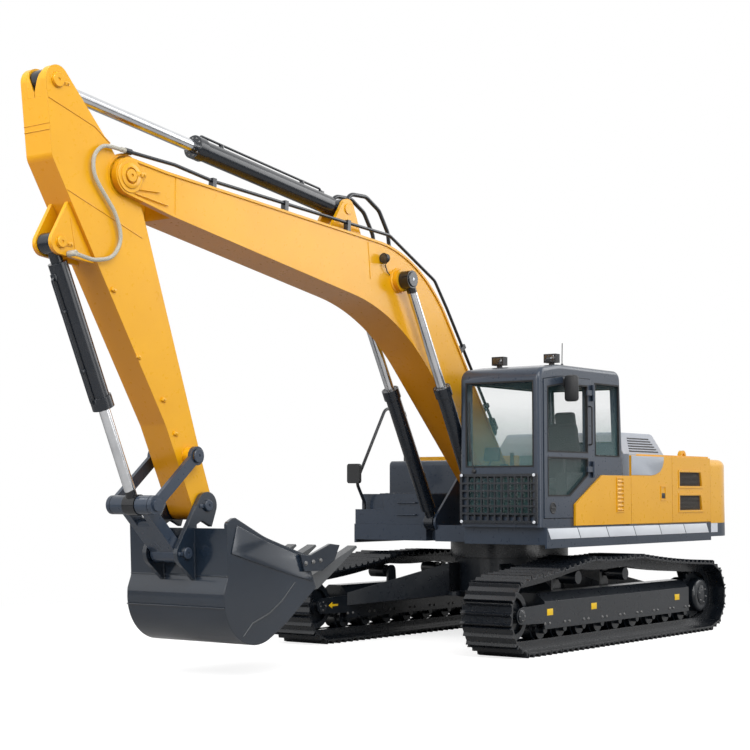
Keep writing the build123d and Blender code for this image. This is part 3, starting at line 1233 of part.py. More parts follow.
def rocker_links():
    """The two side links between the arm and the bucket cylinder's rod."""
    low, high = ROCKER_INNER_Y, ROCKER_INNER_Y + ROCKER_THICKNESS
    link = face_at_side(link_face(ROCKER_PIN, LINK_JOINT), low, high)
    link += pin(LINK_JOINT, ARM_PIN_RADIUS, high - 1, high + ROCKER_CAP)
    link -= pin(ROCKER_PIN, ARM_PIN_RADIUS + PIN_GAP, low - 1, high + 1)
    return both_sides(link)


def bucket_link():
    """Link from the rod's joint to the bucket: two upper arms that join above one lower boss."""
    half = ARM_WIDTH / 2
    inner = ROD_EYE_HALF + SIDE_GAP
    share = LINK_FORK_DEPTH / math.dist(LINK_JOINT, LINK_PIN)
    fork = tuple(a + (b - a) * share for a, b in zip(LINK_JOINT, LINK_PIN))
    lower = plate_face((fork, LINK_WAIST), (LINK_PIN, LINK_WAIST)) + Pos(*LINK_PIN) * Circle(LINK_EYE_RADIUS)
    body = face_at_side(lower, -inner, inner)
    upper = face_at_side(link_face(LINK_JOINT, LINK_PIN), inner, half)
    upper += pin(LINK_JOINT, LINK_EYE_RADIUS, half, ROCKER_INNER_Y - SIDE_GAP)
    for solid in both_sides(upper):
        body += solid
    return body - pin(LINK_PIN, ARM_PIN_RADIUS + PIN_GAP, -half - 1, half + 1)


def bucket_outline():
    """The bucket's outer side view."""
    points = [bucket_point(x, z) for x, z, radius in BUCKET_PROFILE]
    return make_face(FilletPolyline(*points, radius=[radius for x, z, radius in BUCKET_PROFILE], close=True))


def lip_point(along, above):
    """The side-view place of a point given out from the lip's edge and above the floor plate."""
    (x0, z0, r0), (x1, z1, r1) = BUCKET_PROFILE[LIP_CORNER - 1], BUCKET_PROFILE[LIP_CORNER]
    length = math.dist((x0, z0), (x1, z1))
    out = ((x1 - x0) / length, (z1 - z0) / length)
    return bucket_point(x1 + along * out[0] + above * out[1], z1 + along * out[1] - above * out[0])


def bucket():
    """Open shell of a wrapped plate, two sides and a lip, with the ears, their pins and side cutters."""
    half = BUCKET_WIDTH / 2
    face = bucket_outline()
    inner = offset(face, -BUCKET_WRAP)
    mouth = make_face(Polyline(*[bucket_point(x, z) for x, z in BUCKET_MOUTH], close=True))
    body = face_at_side(face, -half, half)
    body -= face_at_side(inner + mouth, BUCKET_SIDE - half, half - BUCKET_SIDE)
    corners = ((-LIP_LENGTH, 0), (0, 0), (0, LIP_THICKNESS), (-LIP_LENGTH, LIP_THICKNESS))
    lip = [lip_point(*corner) for corner in corners]
    body += at_side(lip, -half, half)
    cutter = at_side([bucket_point(*corner) for corner in SIDE_CUTTER], half - 1, half + BUCKET_SIDE)
    for solid in both_sides(cutter):
        body += solid
    ear = plate_face((BUCKET_PIN, BUCKET_EAR_RADIUS), (LINK_PIN, BUCKET_EAR_RADIUS),
                     *[(bucket_point(x, z), BUCKET_WRAP) for x, z in BUCKET_EAR_TOES])
    high = BUCKET_EAR_INNER + BUCKET_EAR_THICKNESS
    ear_solid = face_at_side(ear, BUCKET_EAR_INNER, high) - face_at_side(inner, 0, half)
    for solid in both_sides(ear_solid):
        body += solid
    for place in (BUCKET_PIN, LINK_PIN):
        body += pin(place, ARM_PIN_RADIUS, -high - BRACKET_CAP, high + BRACKET_CAP)
    return body


def bucket_teeth():
    """Pointed teeth, each set against the lip's edge with a foot on top of it."""
    spread = BUCKET_WIDTH / 2 - BUCKET_SIDE - TOOTH_WIDTH / 2 - SIDE_GAP
    outline = [lip_point(*corner) for corner in TOOTH_PROFILE]
    teeth = []
    for i in range(TOOTH_COUNT):
        y = spread * (2 * i / (TOOTH_COUNT - 1) - 1)
        teeth.append(at_side(outline, y - TOOTH_WIDTH / 2, y + TOOTH_WIDTH / 2))
    return teeth


NODES = {
    "car_body": lambda: [car_body()],
    "slew_ring": lambda: [slew_ring()],
    "left_track": lambda: [track(1)],
    "right_track": lambda: [track(-1)],
    "left_track_frame": lambda: [track_frame(1)],
    "right_track_frame": lambda: [track_frame(-1)],
    "sprockets": lambda: [sprocket(1), sprocket(-1)],
    "idlers": lambda: [idler(1), idler(-1)],
    "track_rollers": lambda: track_rollers() + carrier_rollers(),
    "main_frame": lambda: [main_frame()],
    "counterweight": lambda: [counterweight()],
    "cab_frame": lambda: [cab_frame()],
    "cab_glass": cab_glass,
    "cab_door": lambda: [cab_door()],
    "cab_door_glass": cab_door_glass,
    "left_mirror": lambda: [left_mirror()],
    "front_guard": lambda: [front_guard()],
    "operator_seat": lambda: [operator_seat()],
    "control_consoles": control_consoles,
    "roof_lamps": roof_lamps,
    "engine_housing": lambda: [engine_housing()],
    "engine": lambda: [engine()],
    "engine_hood": lambda: [engine_hood()],
    "service_door": lambda: [service_door()],
    "radiator_door": lambda: [radiator_door()],
    "pump_door": lambda: [pump_door()],
    "cab_side_panel": lambda: [cab_side_panel()],
    "deck_skirts": deck_skirts,
    "fuel_tank": lambda: [fuel_tank()],
    "tool_box": lambda: [tool_box()],
    "guard_rail": lambda: [guard_rail()],
    "right_mirror": lambda: [right_mirror()],
    "boom": lambda: [boom()],
    "boom_cylinder_barrels": lambda: [cylinder_barrel("boom", y) for y in (BOOM_CYL_Y, -BOOM_CYL_Y)],
    "boom_cylinder_rods": lambda: [cylinder_rod("boom", y) for y in (BOOM_CYL_Y, -BOOM_CYL_Y)],
    "arm_cylinder_barrel": lambda: [cylinder_barrel("arm", 0)],
    "arm_cylinder_rod": lambda: [cylinder_rod("arm", 0)],
    "boom_pipes": boom_pipes,
    "arm": lambda: [arm()],
    "arm_hoses": lambda: [arm_hoses()],
    "bucket_cylinder_barrel": lambda: [cylinder_barrel("bucket", 0)],
    "bucket_cylinder_rod": lambda: [cylinder_rod("bucket", 0)],
    "rocker_links": rocker_links,
    "bucket_link": lambda: [bucket_link()],
    "bucket": lambda: [bucket()],
    "bucket_teeth": bucket_teeth,
}

if __name__ == "__main__":
    os.makedirs("parts", exist_ok=True)
    for node, make in NODES.items():
        solids = [Pos(SLEW_X, 0, 0) * piece for piece in make()]
        shape = solids[0] if len(solids) == 1 else Compound(solids)
        export_step(shape, f"parts/{node}.step")
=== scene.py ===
import json
import math

import bmesh
import bpy
from mathutils import Matrix, Vector

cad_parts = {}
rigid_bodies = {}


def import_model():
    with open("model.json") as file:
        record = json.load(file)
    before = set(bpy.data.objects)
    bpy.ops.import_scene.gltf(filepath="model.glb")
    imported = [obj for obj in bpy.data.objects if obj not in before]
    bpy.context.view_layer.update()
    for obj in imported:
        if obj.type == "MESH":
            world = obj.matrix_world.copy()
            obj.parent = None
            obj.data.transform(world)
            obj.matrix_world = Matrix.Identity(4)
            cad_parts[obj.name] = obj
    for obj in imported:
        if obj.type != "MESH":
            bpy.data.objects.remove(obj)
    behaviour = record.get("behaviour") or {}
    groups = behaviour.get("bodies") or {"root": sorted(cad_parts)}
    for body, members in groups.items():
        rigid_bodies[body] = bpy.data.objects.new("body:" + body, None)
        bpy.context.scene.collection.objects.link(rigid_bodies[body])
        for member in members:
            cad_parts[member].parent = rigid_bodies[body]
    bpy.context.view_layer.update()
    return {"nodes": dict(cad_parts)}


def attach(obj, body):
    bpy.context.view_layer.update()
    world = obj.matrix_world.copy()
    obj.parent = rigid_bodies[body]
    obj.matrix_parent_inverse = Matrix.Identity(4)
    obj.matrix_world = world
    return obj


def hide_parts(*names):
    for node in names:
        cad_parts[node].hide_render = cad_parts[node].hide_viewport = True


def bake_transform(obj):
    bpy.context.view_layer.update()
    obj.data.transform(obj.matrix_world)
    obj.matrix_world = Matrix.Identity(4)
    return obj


# Crawler mining excavator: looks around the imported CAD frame. Sizes and places are millimetres about
# the slew axis, as in the part's source, and place() turns them into the frame's metres.

for old in list(bpy.data.objects):
    bpy.data.objects.remove(old)
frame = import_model()

SLEW_X = -2060
MM = 0.001
SIDES = (1, -1)
FORWARD = (1, 0, 0)
LEFT = (0, 1, 0)
RIGHT = (0, -1, 0)
UP = (0, 0, 1)

# Pin places in side view, as in the part's source
BOOM_FOOT = (480, 1800)
BOOM_TIP = (6525, 4420)
BOOM_CYL_EYE = (2530, 3920)
ARM_EYE = (7315, 5118)
BUCKET_CYL_EAR = (7218, 3767)
ROCKER_PIN = (5690, 2004)
BUCKET_PIN = (5490, 1557)
LINK_PIN = (5760, 1135)
LINK_JOINT = (6205, 1567)

# Outer face of the side panels and doors, and the band of the white strips below them
PANEL_Y = 1490
STRIP_Z = (1186, 1298)


def place(x, y, z):
    """Millimetres about the slew axis to a point of the frame."""
    return Vector(((x + SLEW_X) * MM, y * MM, z * MM))


def across(pin, y):
    """A side-view place at a distance across the machine."""
    return (pin[0], y, pin[1])


def oblong(low, high):
    """The corners of a rectangle in a flat view, from its low and its high corner."""
    return [low, (high[0], low[1]), high, (low[0], high[1])]


# Camera, from the photograph's own vanishing lines

CAMERA_PLACE = (16586, 10353, 1672)
CAMERA_YAW = 36.619
CAMERA_PITCH = 4.106
CAMERA_FOCAL_PX = 1642.9
PHOTO_PX = 750
SENSOR_MM = 36
CLIP_END_M = 500


def add_camera():
    """The camera at the photograph's viewing angle."""
    camera = bpy.data.objects.new("camera", bpy.data.cameras.new("camera"))
    bpy.context.scene.collection.objects.link(camera)
    camera.location = place(*CAMERA_PLACE)
    yaw, pitch = math.radians(CAMERA_YAW), math.radians(CAMERA_PITCH)
    level = math.cos(pitch)
    looking = Vector((-math.cos(yaw) * level, -math.sin(yaw) * level, math.sin(pitch)))
    camera.rotation_euler = looking.to_track_quat("-Z", "Y").to_euler()
    camera.data.sensor_width = SENSOR_MM
    camera.data.lens = SENSOR_MM * CAMERA_FOCAL_PX / PHOTO_PX
    camera.data.clip_end = CLIP_END_M
    bpy.context.scene.camera = camera
    bpy.context.scene.view_settings.view_transform = "Standard"


# Materials

class Tree:
    """A node tree in the making: its methods add nodes and give back the socket to go on from."""

    def __init__(self, owner):
        owner.use_nodes = True
        self.nodes = owner.node_tree.nodes
        self.links = owner.node_tree.links

    def add(self, kind):
        """A new shader node of one kind."""
        return self.nodes.new("ShaderNode" + kind)

    def feed(self, socket, value):
        """Link a socket to another one, or set it to plain numbers."""
        if isinstance(value, bpy.types.NodeSocket):
            self.links.new(value, socket)
        else:
            socket.default_value = value

    def worked(self, kind, operation, values, result):
        """A sum of one kind over sockets or plain numbers."""
        made = self.add(kind)
        made.operation = operation
        for socket, value in zip(made.inputs, values):
            self.feed(socket, value)
        return made.outputs[result]

    def sums(self, operation, *values):
        """A sum over numbers."""
        return self.worked("Math", operation, values, 0)

    def vectors(self, operation, *values, result="Vector"):
        """A sum over vectors."""
        return self.worked("VectorMath", operation, values, result)

    def coords(self, kind="Object"):
        """Texture coordinates; Object means the frame's metres, with the machine at rest."""
        return self.add("TexCoord").outputs[kind]

    def noise(self, scale, detail=4, roughness=0.55):
        """A noise texture in the frame's own coordinates."""
        texture = self.add("TexNoise")
        settings = {"Vector": self.coords(), "Scale": scale, "Detail": detail, "Roughness": roughness}
        for socket, value in settings.items():
            self.feed(texture.inputs[socket], value)
        return texture.outputs["Fac"]

    def ramp(self, value, *stops):
        """A colour ramp over a value; stops are (position, colour), and a single number is a grey."""
        made = self.add("ValToRGB")
        self.links.new(value, made.inputs["Fac"])
        elements = made.color_ramp.elements
        while len(elements) < len(stops):
            elements.new(0.5)
        for element, (position, colour) in zip(elements, stops):
            element.position = position
            element.color = (*colour, 1) if isinstance(colour, tuple) else (colour, colour, colour, 1)
        return made.outputs["Color"]

    def mixed(self, factor, first, second):
        """A mix of two colours, each a socket or plain numbers."""
        made = self.add("Mix")
        made.data_type = "RGBA"
        self.links.new(factor, made.inputs["Factor"])
        for socket, value in ((made.inputs[6], first), (made.inputs[7], second)):
            self.feed(socket, (*value, 1) if isinstance(value, tuple) else value)
        return made.outputs[2]

    def spread(self, value, low, high, at_low=0.0, at_high=1.0):
        """A value carried over from one range to another."""
        made = self.add("MapRange")
        settings = {"Value": value, "From Min": low, "From Max": high, "To Min": at_low, "To Max": at_high}
        for socket, amount in settings.items():
            self.feed(made.inputs[socket], amount)
        return made.outputs["Result"]

    def by_axis(self, vector, axis, *ranges):
        """One part of a vector, carried over from one range to another."""
        parts = self.add("SeparateXYZ")
        self.links.new(vector, parts.inputs[0])
        return self.spread(parts.outputs[axis], *ranges)

    def in_box(self, low, high):
        """One inside a box of the machine at rest, and nought outside."""
        low, high = place(*low), place(*high)
        off_middle = self.vectors("ABSOLUTE", self.vectors("SUBTRACT", self.coords(), (low + high) / 2))
        past = self.add("SeparateXYZ")
        self.links.new(self.vectors("SUBTRACT", off_middle, (high - low) / 2), past.inputs[0])
        level = self.sums("MAXIMUM", past.outputs["X"], past.outputs["Y"])
        return self.sums("LESS_THAN", self.sums("MAXIMUM", level, past.outputs["Z"]), 0)


class Look(Tree):
    """A node material in the making, with its principled shader."""

    EDGE_SAMPLES = 4

    def __init__(self, name):
        self.material = bpy.data.materials.new(name)
        super().__init__(self.material)
        self.shader = self.nodes["Principled BSDF"]

    def put(self, socket, value):
        """Set or link one of the shader's own sockets."""
        self.feed(self.shader.inputs[socket], value)

    def bump(self, height, strength, distance, rounding=0.0):
        """Fine relief on the shader's normal, with the solid's edges eased by a small radius in metres."""
        made = self.add("Bump")
        for socket, value in (("Strength", strength), ("Distance", distance), ("Height", height)):
            self.feed(made.inputs[socket], value)
        if rounding:
            edge = self.add("Bevel")
            edge.samples = self.EDGE_SAMPLES
            edge.inputs["Radius"].default_value = rounding
            self.links.new(edge.outputs["Normal"], made.inputs["Normal"])
        self.put("Normal", made.outputs["Normal"])

    def geometry(self, output):
        """One of the surface's own measures."""
        return self.add("NewGeometry").outputs[output]


def scaled(colour, factor):
    """A colour made lighter or darker."""
    return tuple(factor * part for part in colour)


DUST_COLOUR = (0.22, 0.19, 0.15)
EYE_COLOUR = (0.012, 0.013, 0.015)
EYE_EDGE_M = 0.002


def paint(name, colour, shade, rough, coat, dust=0.0, rounding=0.006, painted_under_shade=None, zones=(), opening=None):
    """Sprayed paint with a slow drift of colour, orange peel and dust.

    Its underside may take a painted shade, darker and warmer, that stands in for the shade under it; boxes
    may have other colours, and one box may be clear.
    """
    look = Look(name)
    base_colour = look.ramp(look.noise(scale=1.3), (0.35, shade), (0.65, colour))
    # Painted shade: faces that point down are mixed towards a darker, warmer colour.
    if painted_under_shade:
        base_colour = look.mixed(look.by_axis(look.geometry("Normal"), "Z", 0.05, -0.6), base_colour, painted_under_shade)
    for low, high, other in zones:
        base_colour = look.mixed(look.in_box(low, high), base_colour, other)
    if opening:
        look.put("Alpha", look.sums("SUBTRACT", 1, look.in_box(*opening)))
    grime = look.ramp(look.noise(scale=9, detail=6, roughness=0.7), (0.55, 0), (0.8, dust))
    look.put("Base Color", look.mixed(grime, base_colour, DUST_COLOUR))
    look.put("Roughness", look.ramp(look.noise(scale=22, detail=5), (0.3, rough * 0.85), (0.7, rough * 1.25)))
    look.put("Specular IOR Level", 0.35)
    look.put("Coat Weight", coat)
    look.put("Coat Roughness", 0.12)
    look.bump(look.noise(scale=240, detail=2), strength=0.05, distance=0.0015, rounding=rounding)
    return look.material


def worn_steel(name, colour, bright, rough, metal, scale=14):
    """Dark steel with mottled scale, earth in the pores and edges rubbed bright."""
    look = Look(name)
    mottle = look.ramp(look.noise(scale, detail=8, roughness=0.65),
                       (0.3, scaled(colour, 0.6)), (0.55, colour), (0.8, scaled(colour, 1.5)))
    wear = look.ramp(look.geometry("Pointiness"), (0.52, 0), (0.6, 1))
    look.put("Base Color", look.mixed(wear, mottle, bright))
    look.put("Metallic", metal)
    look.put("Roughness", look.ramp(look.noise(scale=40, detail=6), (0.3, rough * 0.8), (0.7, rough * 1.3)))
    look.bump(look.noise(scale=90, detail=8, roughness=0.7), strength=0.25, distance=0.003, rounding=0.004)
    return look.material


def chrome(name, eye=None, reach=0.0):
    """Ground chrome with a faint film of oil; a rod's eye, within a reach of its pin, is black paint."""
    look = Look(name)
    film = look.ramp(look.noise(scale=5), (0.3, (0.62, 0.63, 0.65)), (0.7, (0.8, 0.81, 0.83)))
    if eye:
        flat = look.vectors("MULTIPLY", look.coords(), (1, 0, 1))
        far = look.vectors("DISTANCE", flat, place(*across(eye, 0)), result="Value")
        bare = look.ramp(far, (reach * MM - EYE_EDGE_M, 0), (reach * MM, 1))
        look.put("Metallic", bare)
        film = look.mixed(bare, EYE_COLOUR, film)
    else:
        look.put("Metallic", 1)
    look.put("Base Color", film)
    look.put("Roughness", look.ramp(look.noise(scale=30, detail=5), (0.3, 0.1), (0.75, 0.22)))
    look.bump(look.noise(scale=400, detail=2), strength=0.03, distance=0.0005)
    return look.material


def glass(name, tint, alpha, clear=None):
    """Tinted safety glass with a film of dust; between two heights it may clear to another alpha."""
    look = Look(name)
    look.put("Base Color", look.ramp(look.noise(scale=3, detail=5), (0.35, tint), (0.75, scaled(tint, 1.15))))
    look.put("Roughness", 0.02)
    look.put("IOR", 1.45)
    if clear:
        low, high, top_alpha = clear
        look.put("Alpha", look.by_axis(look.coords(), "Z", low, high, alpha, top_alpha))
    else:
        look.put("Alpha", alpha)
    look.put("Coat Weight", 1)
    look.put("Coat Roughness", 0.02)
    return look.material


def moulded(name, colour, rough, grain=900, relief=0.12):
    """Moulded plastic or rubber with a fine grain."""
    look = Look(name)
    look.put("Base Color", look.ramp(look.noise(scale=6), (0.3, scaled(colour, 0.8)), (0.7, colour)))
    look.put("Roughness", look.ramp(look.noise(scale=60), (0.3, rough * 0.9), (0.7, rough * 1.15)))
    look.bump(look.noise(grain, detail=3), strength=relief, distance=0.0008, rounding=0.003)
    return look.material


def woven(name, colour, light, scale):
    """Cloth or braid: crossed threads."""
    look = Look(name)
    threads = []
    for direction in ("X", "Z"):
        wave = look.add("TexWave")
        wave.bands_direction = direction
        wave.inputs["Scale"].default_value = scale
        wave.inputs["Distortion"].default_value = 0.6
        look.links.new(look.coords(), wave.inputs["Vector"])
        threads.append(wave.outputs["Fac"])
    cross = look.sums("MULTIPLY", *threads)
    look.put("Base Color", look.ramp(cross, (0.1, colour), (0.7, light)))
    look.put("Roughness", 0.8)
    look.bump(cross, strength=0.4, distance=0.001)
    return look.material


FAR = 9000
YELLOW_COLOURS = (0.80, 0.40, 0.004), (0.75, 0.365, 0.003)
# Painted shade for the yellow's undersides: a darker orange on faces that point down.
YELLOW_PAINTED_UNDER_SHADE = (0.60, 0.225, 0.006)
CHARCOAL_COLOURS = (0.029, 0.042, 0.066), (0.022, 0.034, 0.055)
STRIP_COLOUR = (0.66, 0.69, 0.75)
BAND_COLOUR = (0.38, 0.41, 0.46)

# Painted boxes: the counterweight's charcoal foot with the strips' ends on it, and the housing's grey band
TAIL_ZONES = (
    ((-FAR, -FAR, 0), (FAR, FAR, 1300), CHARCOAL_COLOURS[0]),
    ((-2520, 1400, STRIP_Z[0]), (-2300, 1600, STRIP_Z[1]), STRIP_COLOUR),
    ((-2520, -1600, STRIP_Z[0]), (-2300, -1400, STRIP_Z[1]), STRIP_COLOUR),
)
HOUSING_ZONES = (((-420, 0, 0), (FAR, FAR, FAR), BAND_COLOUR),)

# The rear window is cut through the cab's wall but for a skin, which is clear
REAR_OPENING = ((-45, 565.5, 2250), (5, 1351.5, 2859.5))

# The yellow parts carry the painted underside shade.
YELLOW = paint("yellow_paint", *YELLOW_COLOURS, 0.3, 0.3, painted_under_shade=YELLOW_PAINTED_UNDER_SHADE)
TAIL = paint("tail_paint", *YELLOW_COLOURS, 0.3, 0.3, zones=TAIL_ZONES)
HOUSING = paint("housing_paint", *YELLOW_COLOURS, 0.3, 0.3, zones=HOUSING_ZONES)
CAB = paint("cab_paint", *CHARCOAL_COLOURS, 0.3, 0.4, dust=0.02, opening=REAR_OPENING)
CHARCOAL = paint("charcoal_paint", *CHARCOAL_COLOURS, 0.3, 0.4, dust=0.02)
DEEP = paint("undercarriage_paint", (0.009, 0.012, 0.017), (0.006, 0.009, 0.013), 0.3, 0.4, dust=0.04)
BLACK = paint("black_paint", (0.008, 0.011, 0.017), (0.005, 0.008, 0.013), 0.25, 0.5, dust=0.02)
GREY = paint("grey_paint", (0.38, 0.41, 0.47), (0.33, 0.36, 0.42), 0.4, 0.3, dust=0.03)
SILVER = paint("silver_paint", (0.40, 0.43, 0.48), (0.35, 0.38, 0.43), 0.35, 0.4, dust=0.02)
WHITE = paint("white_strip", (0.72, 0.75, 0.80), (0.64, 0.67, 0.72), 0.4, 0.2, dust=0.04, rounding=0.001)
LEMON = paint("plate_yellow", (0.90, 0.58, 0.008), (0.84, 0.52, 0.007), 0.4, 0.2, rounding=0.001)
TRACK = paint("track_paint", (0.006, 0.008, 0.012), (0.004, 0.006, 0.009), 0.28, 0.5,
              dust=0.05, rounding=0.01)
BUCKET = paint("bucket_paint", (0.009, 0.017, 0.030), (0.006, 0.012, 0.022), 0.2, 0.9,
               dust=0.02, rounding=0.014)
TOOTH = worn_steel("tooth_steel", (0.012, 0.016, 0.022), (0.09, 0.095, 0.10), 0.34, 0.2)
BOLT = worn_steel("bolt_steel", (0.05, 0.05, 0.053), (0.2, 0.2, 0.2), 0.4, 0.7, scale=60)
GRILLE = worn_steel("grille_mesh", (0.06, 0.055, 0.05), (0.12, 0.11, 0.1), 0.6, 0.2, scale=200)
BOOM_ROD = chrome("boom_rod_chrome", BOOM_CYL_EYE, 150)
ARM_ROD = chrome("arm_rod_chrome", ARM_EYE, 170)
BUCKET_ROD = chrome("bucket_rod_chrome", LINK_JOINT, 150)
MIRROR = chrome("mirror_face")
WINDOW = glass("cab_window", (0.09, 0.22, 0.22), 0.3, clear=(1.9, 2.65, 0.05))
DARK_WINDOW = glass("door_window", (0.06, 0.13, 0.13), 0.22, clear=(1.7, 2.6, 0.08))
LENS = glass("lamp_lens", (0.03, 0.032, 0.036), 0.9)
PLASTIC = moulded("black_plastic", (0.014, 0.015, 0.017), 0.5)
GASKET = moulded("window_rubber", (0.008, 0.008, 0.009), 0.7)
BRAID = woven("steel_braid", (0.30, 0.285, 0.24), (0.74, 0.71, 0.62), 160)
CLOTH = woven("seat_cloth", (0.010, 0.010, 0.012), (0.035, 0.036, 0.040), 140)

# Looks of the CAD nodes
NODE_LOOKS = (
    (YELLOW, ("boom", "arm", "service_door", "radiator_door", "pump_door", "cab_side_panel")),
    (TAIL, ("counterweight",)),
    (HOUSING, ("engine_housing",)),
    (CAB, ("cab_frame",)),
    (CHARCOAL, ("cab_door", "deck_skirts", "fuel_tank", "tool_box", "main_frame", "rocker_links",
                "bucket_link")),
    (BUCKET, ("bucket",)),
    (TOOTH, ("bucket_teeth",)),
    (DEEP, ("car_body", "left_track_frame", "right_track_frame", "sprockets", "idlers", "track_rollers")),
    (TRACK, ("slew_ring", "left_track", "right_track")),
    (GREY, ("engine", "engine_hood")),
    (BLACK, ("boom_cylinder_barrels", "arm_cylinder_barrel", "bucket_cylinder_barrel", "front_guard",
             "guard_rail", "boom_pipes")),
    (BOOM_ROD, ("boom_cylinder_rods",)),
    (ARM_ROD, ("arm_cylinder_rod",)),
    (BUCKET_ROD, ("bucket_cylinder_rod",)),
    (WINDOW, ("cab_glass",)),
    (DARK_WINDOW, ("cab_door_glass",)),
    (CLOTH, ("operator_seat",)),
    (PLASTIC, ("control_consoles", "roof_lamps", "left_mirror", "right_mirror")),
    (BRAID, ("arm_hoses",)),
)


def dress_nodes():
    """Give each CAD node its material."""
    for look, nodes in NODE_LOOKS:
        for node in nodes:
            materials = frame["nodes"][node].data.materials
            materials.clear()
            materials.append(look)


# Mesh helpers: each adds to an open bmesh, with sizes in millimetres

SHARP_ANGLE = 32


def blank(count):
    """Open bmeshes, one for each piece."""
    return [bmesh.new() for _ in range(count)]


def piece(name, body, look, shape):
    """Close a bmesh into a piece that moves with one body and takes one material slot, by its look."""
    bmesh.ops.recalc_face_normals(shape, faces=shape.faces[:])
    mesh = bpy.data.meshes.new(name)
    shape.to_mesh(mesh)
    shape.free()
    mesh.shade_smooth()
    mesh.set_sharp_from_angle(angle=math.radians(SHARP_ANGLE))
    mesh.materials.append(look)
    made = bpy.data.objects.new(name, mesh)
    bpy.context.scene.collection.objects.link(made)
    if body:
        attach(made, body)
    return made


def built(rows):
    """A new bmesh from rows of a mesh helper and what it takes."""
    shape = bmesh.new()
    for helper, *sizes in rows:
        helper(shape, *sizes)
    return shape


def ease(shape, edges, bevel):
    """Round edges a little, each once and in a fixed order."""
    once = list(dict.fromkeys(edges))
    bmesh.ops.bevel(shape, geom=once, offset=bevel * MM, segments=2, profile=0.5, affect="EDGES")


def slab(shape, centre, size, bevel=4, turn=0.0, axis="Y"):
    """A block with eased edges, turned about one axis."""
    made = bmesh.ops.create_cube(shape, size=1.0)["verts"]
    turned = Matrix.Rotation(math.radians(turn), 4, axis) @ Matrix.Diagonal((*[s * MM for s in size], 1))
    bmesh.ops.transform(shape, matrix=Matrix.Translation(place(*centre)) @ turned, verts=made)
    ease(shape, [edge for vert in made for edge in vert.link_edges], bevel)


def belt(shape, low, high):
    """Faces between two rings of vertices."""
    corners = zip(low, low[1:] + low[:1], high[1:] + high[:1], high)
    return [shape.faces.new(face) for face in corners]


def prism(shape, outline, y_low, y_high, bevel):
    """A side-view outline drawn out across the machine, with eased edges."""
    low, high = [[shape.verts.new(place(x, y, z)) for x, z in outline] for y in (y_low, y_high)]
    faces = [shape.faces.new(low), shape.faces.new(high), *belt(shape, low, high)]
    ease(shape, [edge for face in faces for edge in face.edges], bevel)


def side_prism(shape, outline, side, ys, bevel):
    """A prism on one side of the machine, between two distances out."""
    prism(shape, outline, *sorted(side * y for y in ys), bevel)


def ringed(shape, rings):
    """Faces between rings of vertices, with both ends closed."""
    for low, high in zip(rings, rings[1:]):
        belt(shape, low, high)
    shape.faces.new(rings[0])
    shape.faces.new(rings[-1])


def spokes(sides, across_axis, up, start=0.0):
    """Directions spread round an axis."""
    turns = [2 * math.pi * (i + start) / sides for i in range(sides)]
    return [across_axis * math.cos(a) + up * math.sin(a) for a in turns]


def about(axis):
    """An axis as a unit vector, with two directions square to it."""
    axis = Vector(axis).normalized()
    beside = axis.orthogonal().normalized()
    return axis, beside, axis.cross(beside)


def lathe(shape, centre, axis, profile, sides=24):
    """A turned form from (radius, distance along the axis) stations."""
    axis, beside, up = about(axis)
    ways = spokes(sides, beside, up)
    rings = []
    for radius, along in profile:
        middle = place(*centre) + axis * (along * MM)
        rings.append([shape.verts.new(middle + way * (radius * MM)) for way in ways])
    ringed(shape, rings)


def bolt(shape, centre, axis, size):
    """A washer and a chamfered hexagon head."""
    lathe(shape, centre, axis, ((size, -2), (size, size * 0.2)), 14)
    lathe(shape, centre, axis, ((size * 0.78, 0), (size * 0.78, size * 0.65), (size * 0.6, size * 0.8)), 6)


def bolt_ring(shape, centre, axis, radius, count, size):
    """Bolts spread round a circle."""
    axis, beside, up = about(axis)
    for way in spokes(count, beside, up, start=0.5):
        bolt(shape, Vector(centre) + way * radius, axis, size)


def boss(shape, spot, side, y, profile, sides):
    """A turned form that stands out from one side of the machine."""
    lathe(shape, across(spot, side * y), (0, side, 0), profile, sides)


def pin_cap(shape, pin, side, y, radius, rise, chamfer, dimple, sides=28):
    """A pin's end: its edge and top stand at two heights, and a dimple goes down to a third."""
    edge, top = rise
    inner, floor = dimple
    form = ((radius, 0), (radius, edge), (radius - chamfer, top), (inner, top), (inner - 2, floor))
    boss(shape, pin, side, y, form, sides)


def keeper(shape, pin, side, y, shift, size, bevel, bolt_places, bolt_size):
    """A plate that keeps a pin from turning, held by bolts along its middle."""
    x, z = pin[0] + shift[0], pin[1] + shift[1]
    slab(shape, (x, side * y, z), size, bevel)
    for dx in bolt_places:
        bolt(shape, (x + dx, side * (y + size[1] / 2), z), (0, side, 0), bolt_size)


def tube(shape, points, radius, sides=10):
    """A round tube along points; the radius may be a table, one for each point."""
    path = [place(*p) for p in points]
    radii = radius if isinstance(radius, list) else [radius] * len(path)
    rings, beside = [], None
    for i, here in enumerate(path):
        ahead = (path[min(i + 1, len(path) - 1)] - path[max(i - 1, 0)]).normalized()
        beside = ahead.orthogonal() if beside is None else beside - ahead * beside.dot(ahead)
        beside.normalize()
        ways = spokes(sides, beside, ahead.cross(beside))
        rings.append([shape.verts.new(here + way * (radii[i] * MM)) for way in ways])
    ringed(shape, rings)


def divided(path, step, least):
    """Points along straight runs, about a step apart and at least so many to a run."""
    out = [path[0]]
    for a, b in zip(path, path[1:]):
        count = max(least, int((b - a).length / step))
        out += [a.lerp(b, (i + 1) / count) for i in range(count)]
    return out


def bead(shape, points, radius):
    """A rippled weld bead along straight runs."""
    steps = divided([Vector(p) for p in points], radius, 2)
    tube(shape, steps, [radius * (1 if i % 2 else 0.84) for i in range(len(steps))], 6)


def side_beads(shape, side, rows):
    """Weld beads on one side; rows are the distance out, side-view points and a radius."""
    for y, points, radius in rows:
        bead(shape, [across(p, side * y) for p in points], radius)


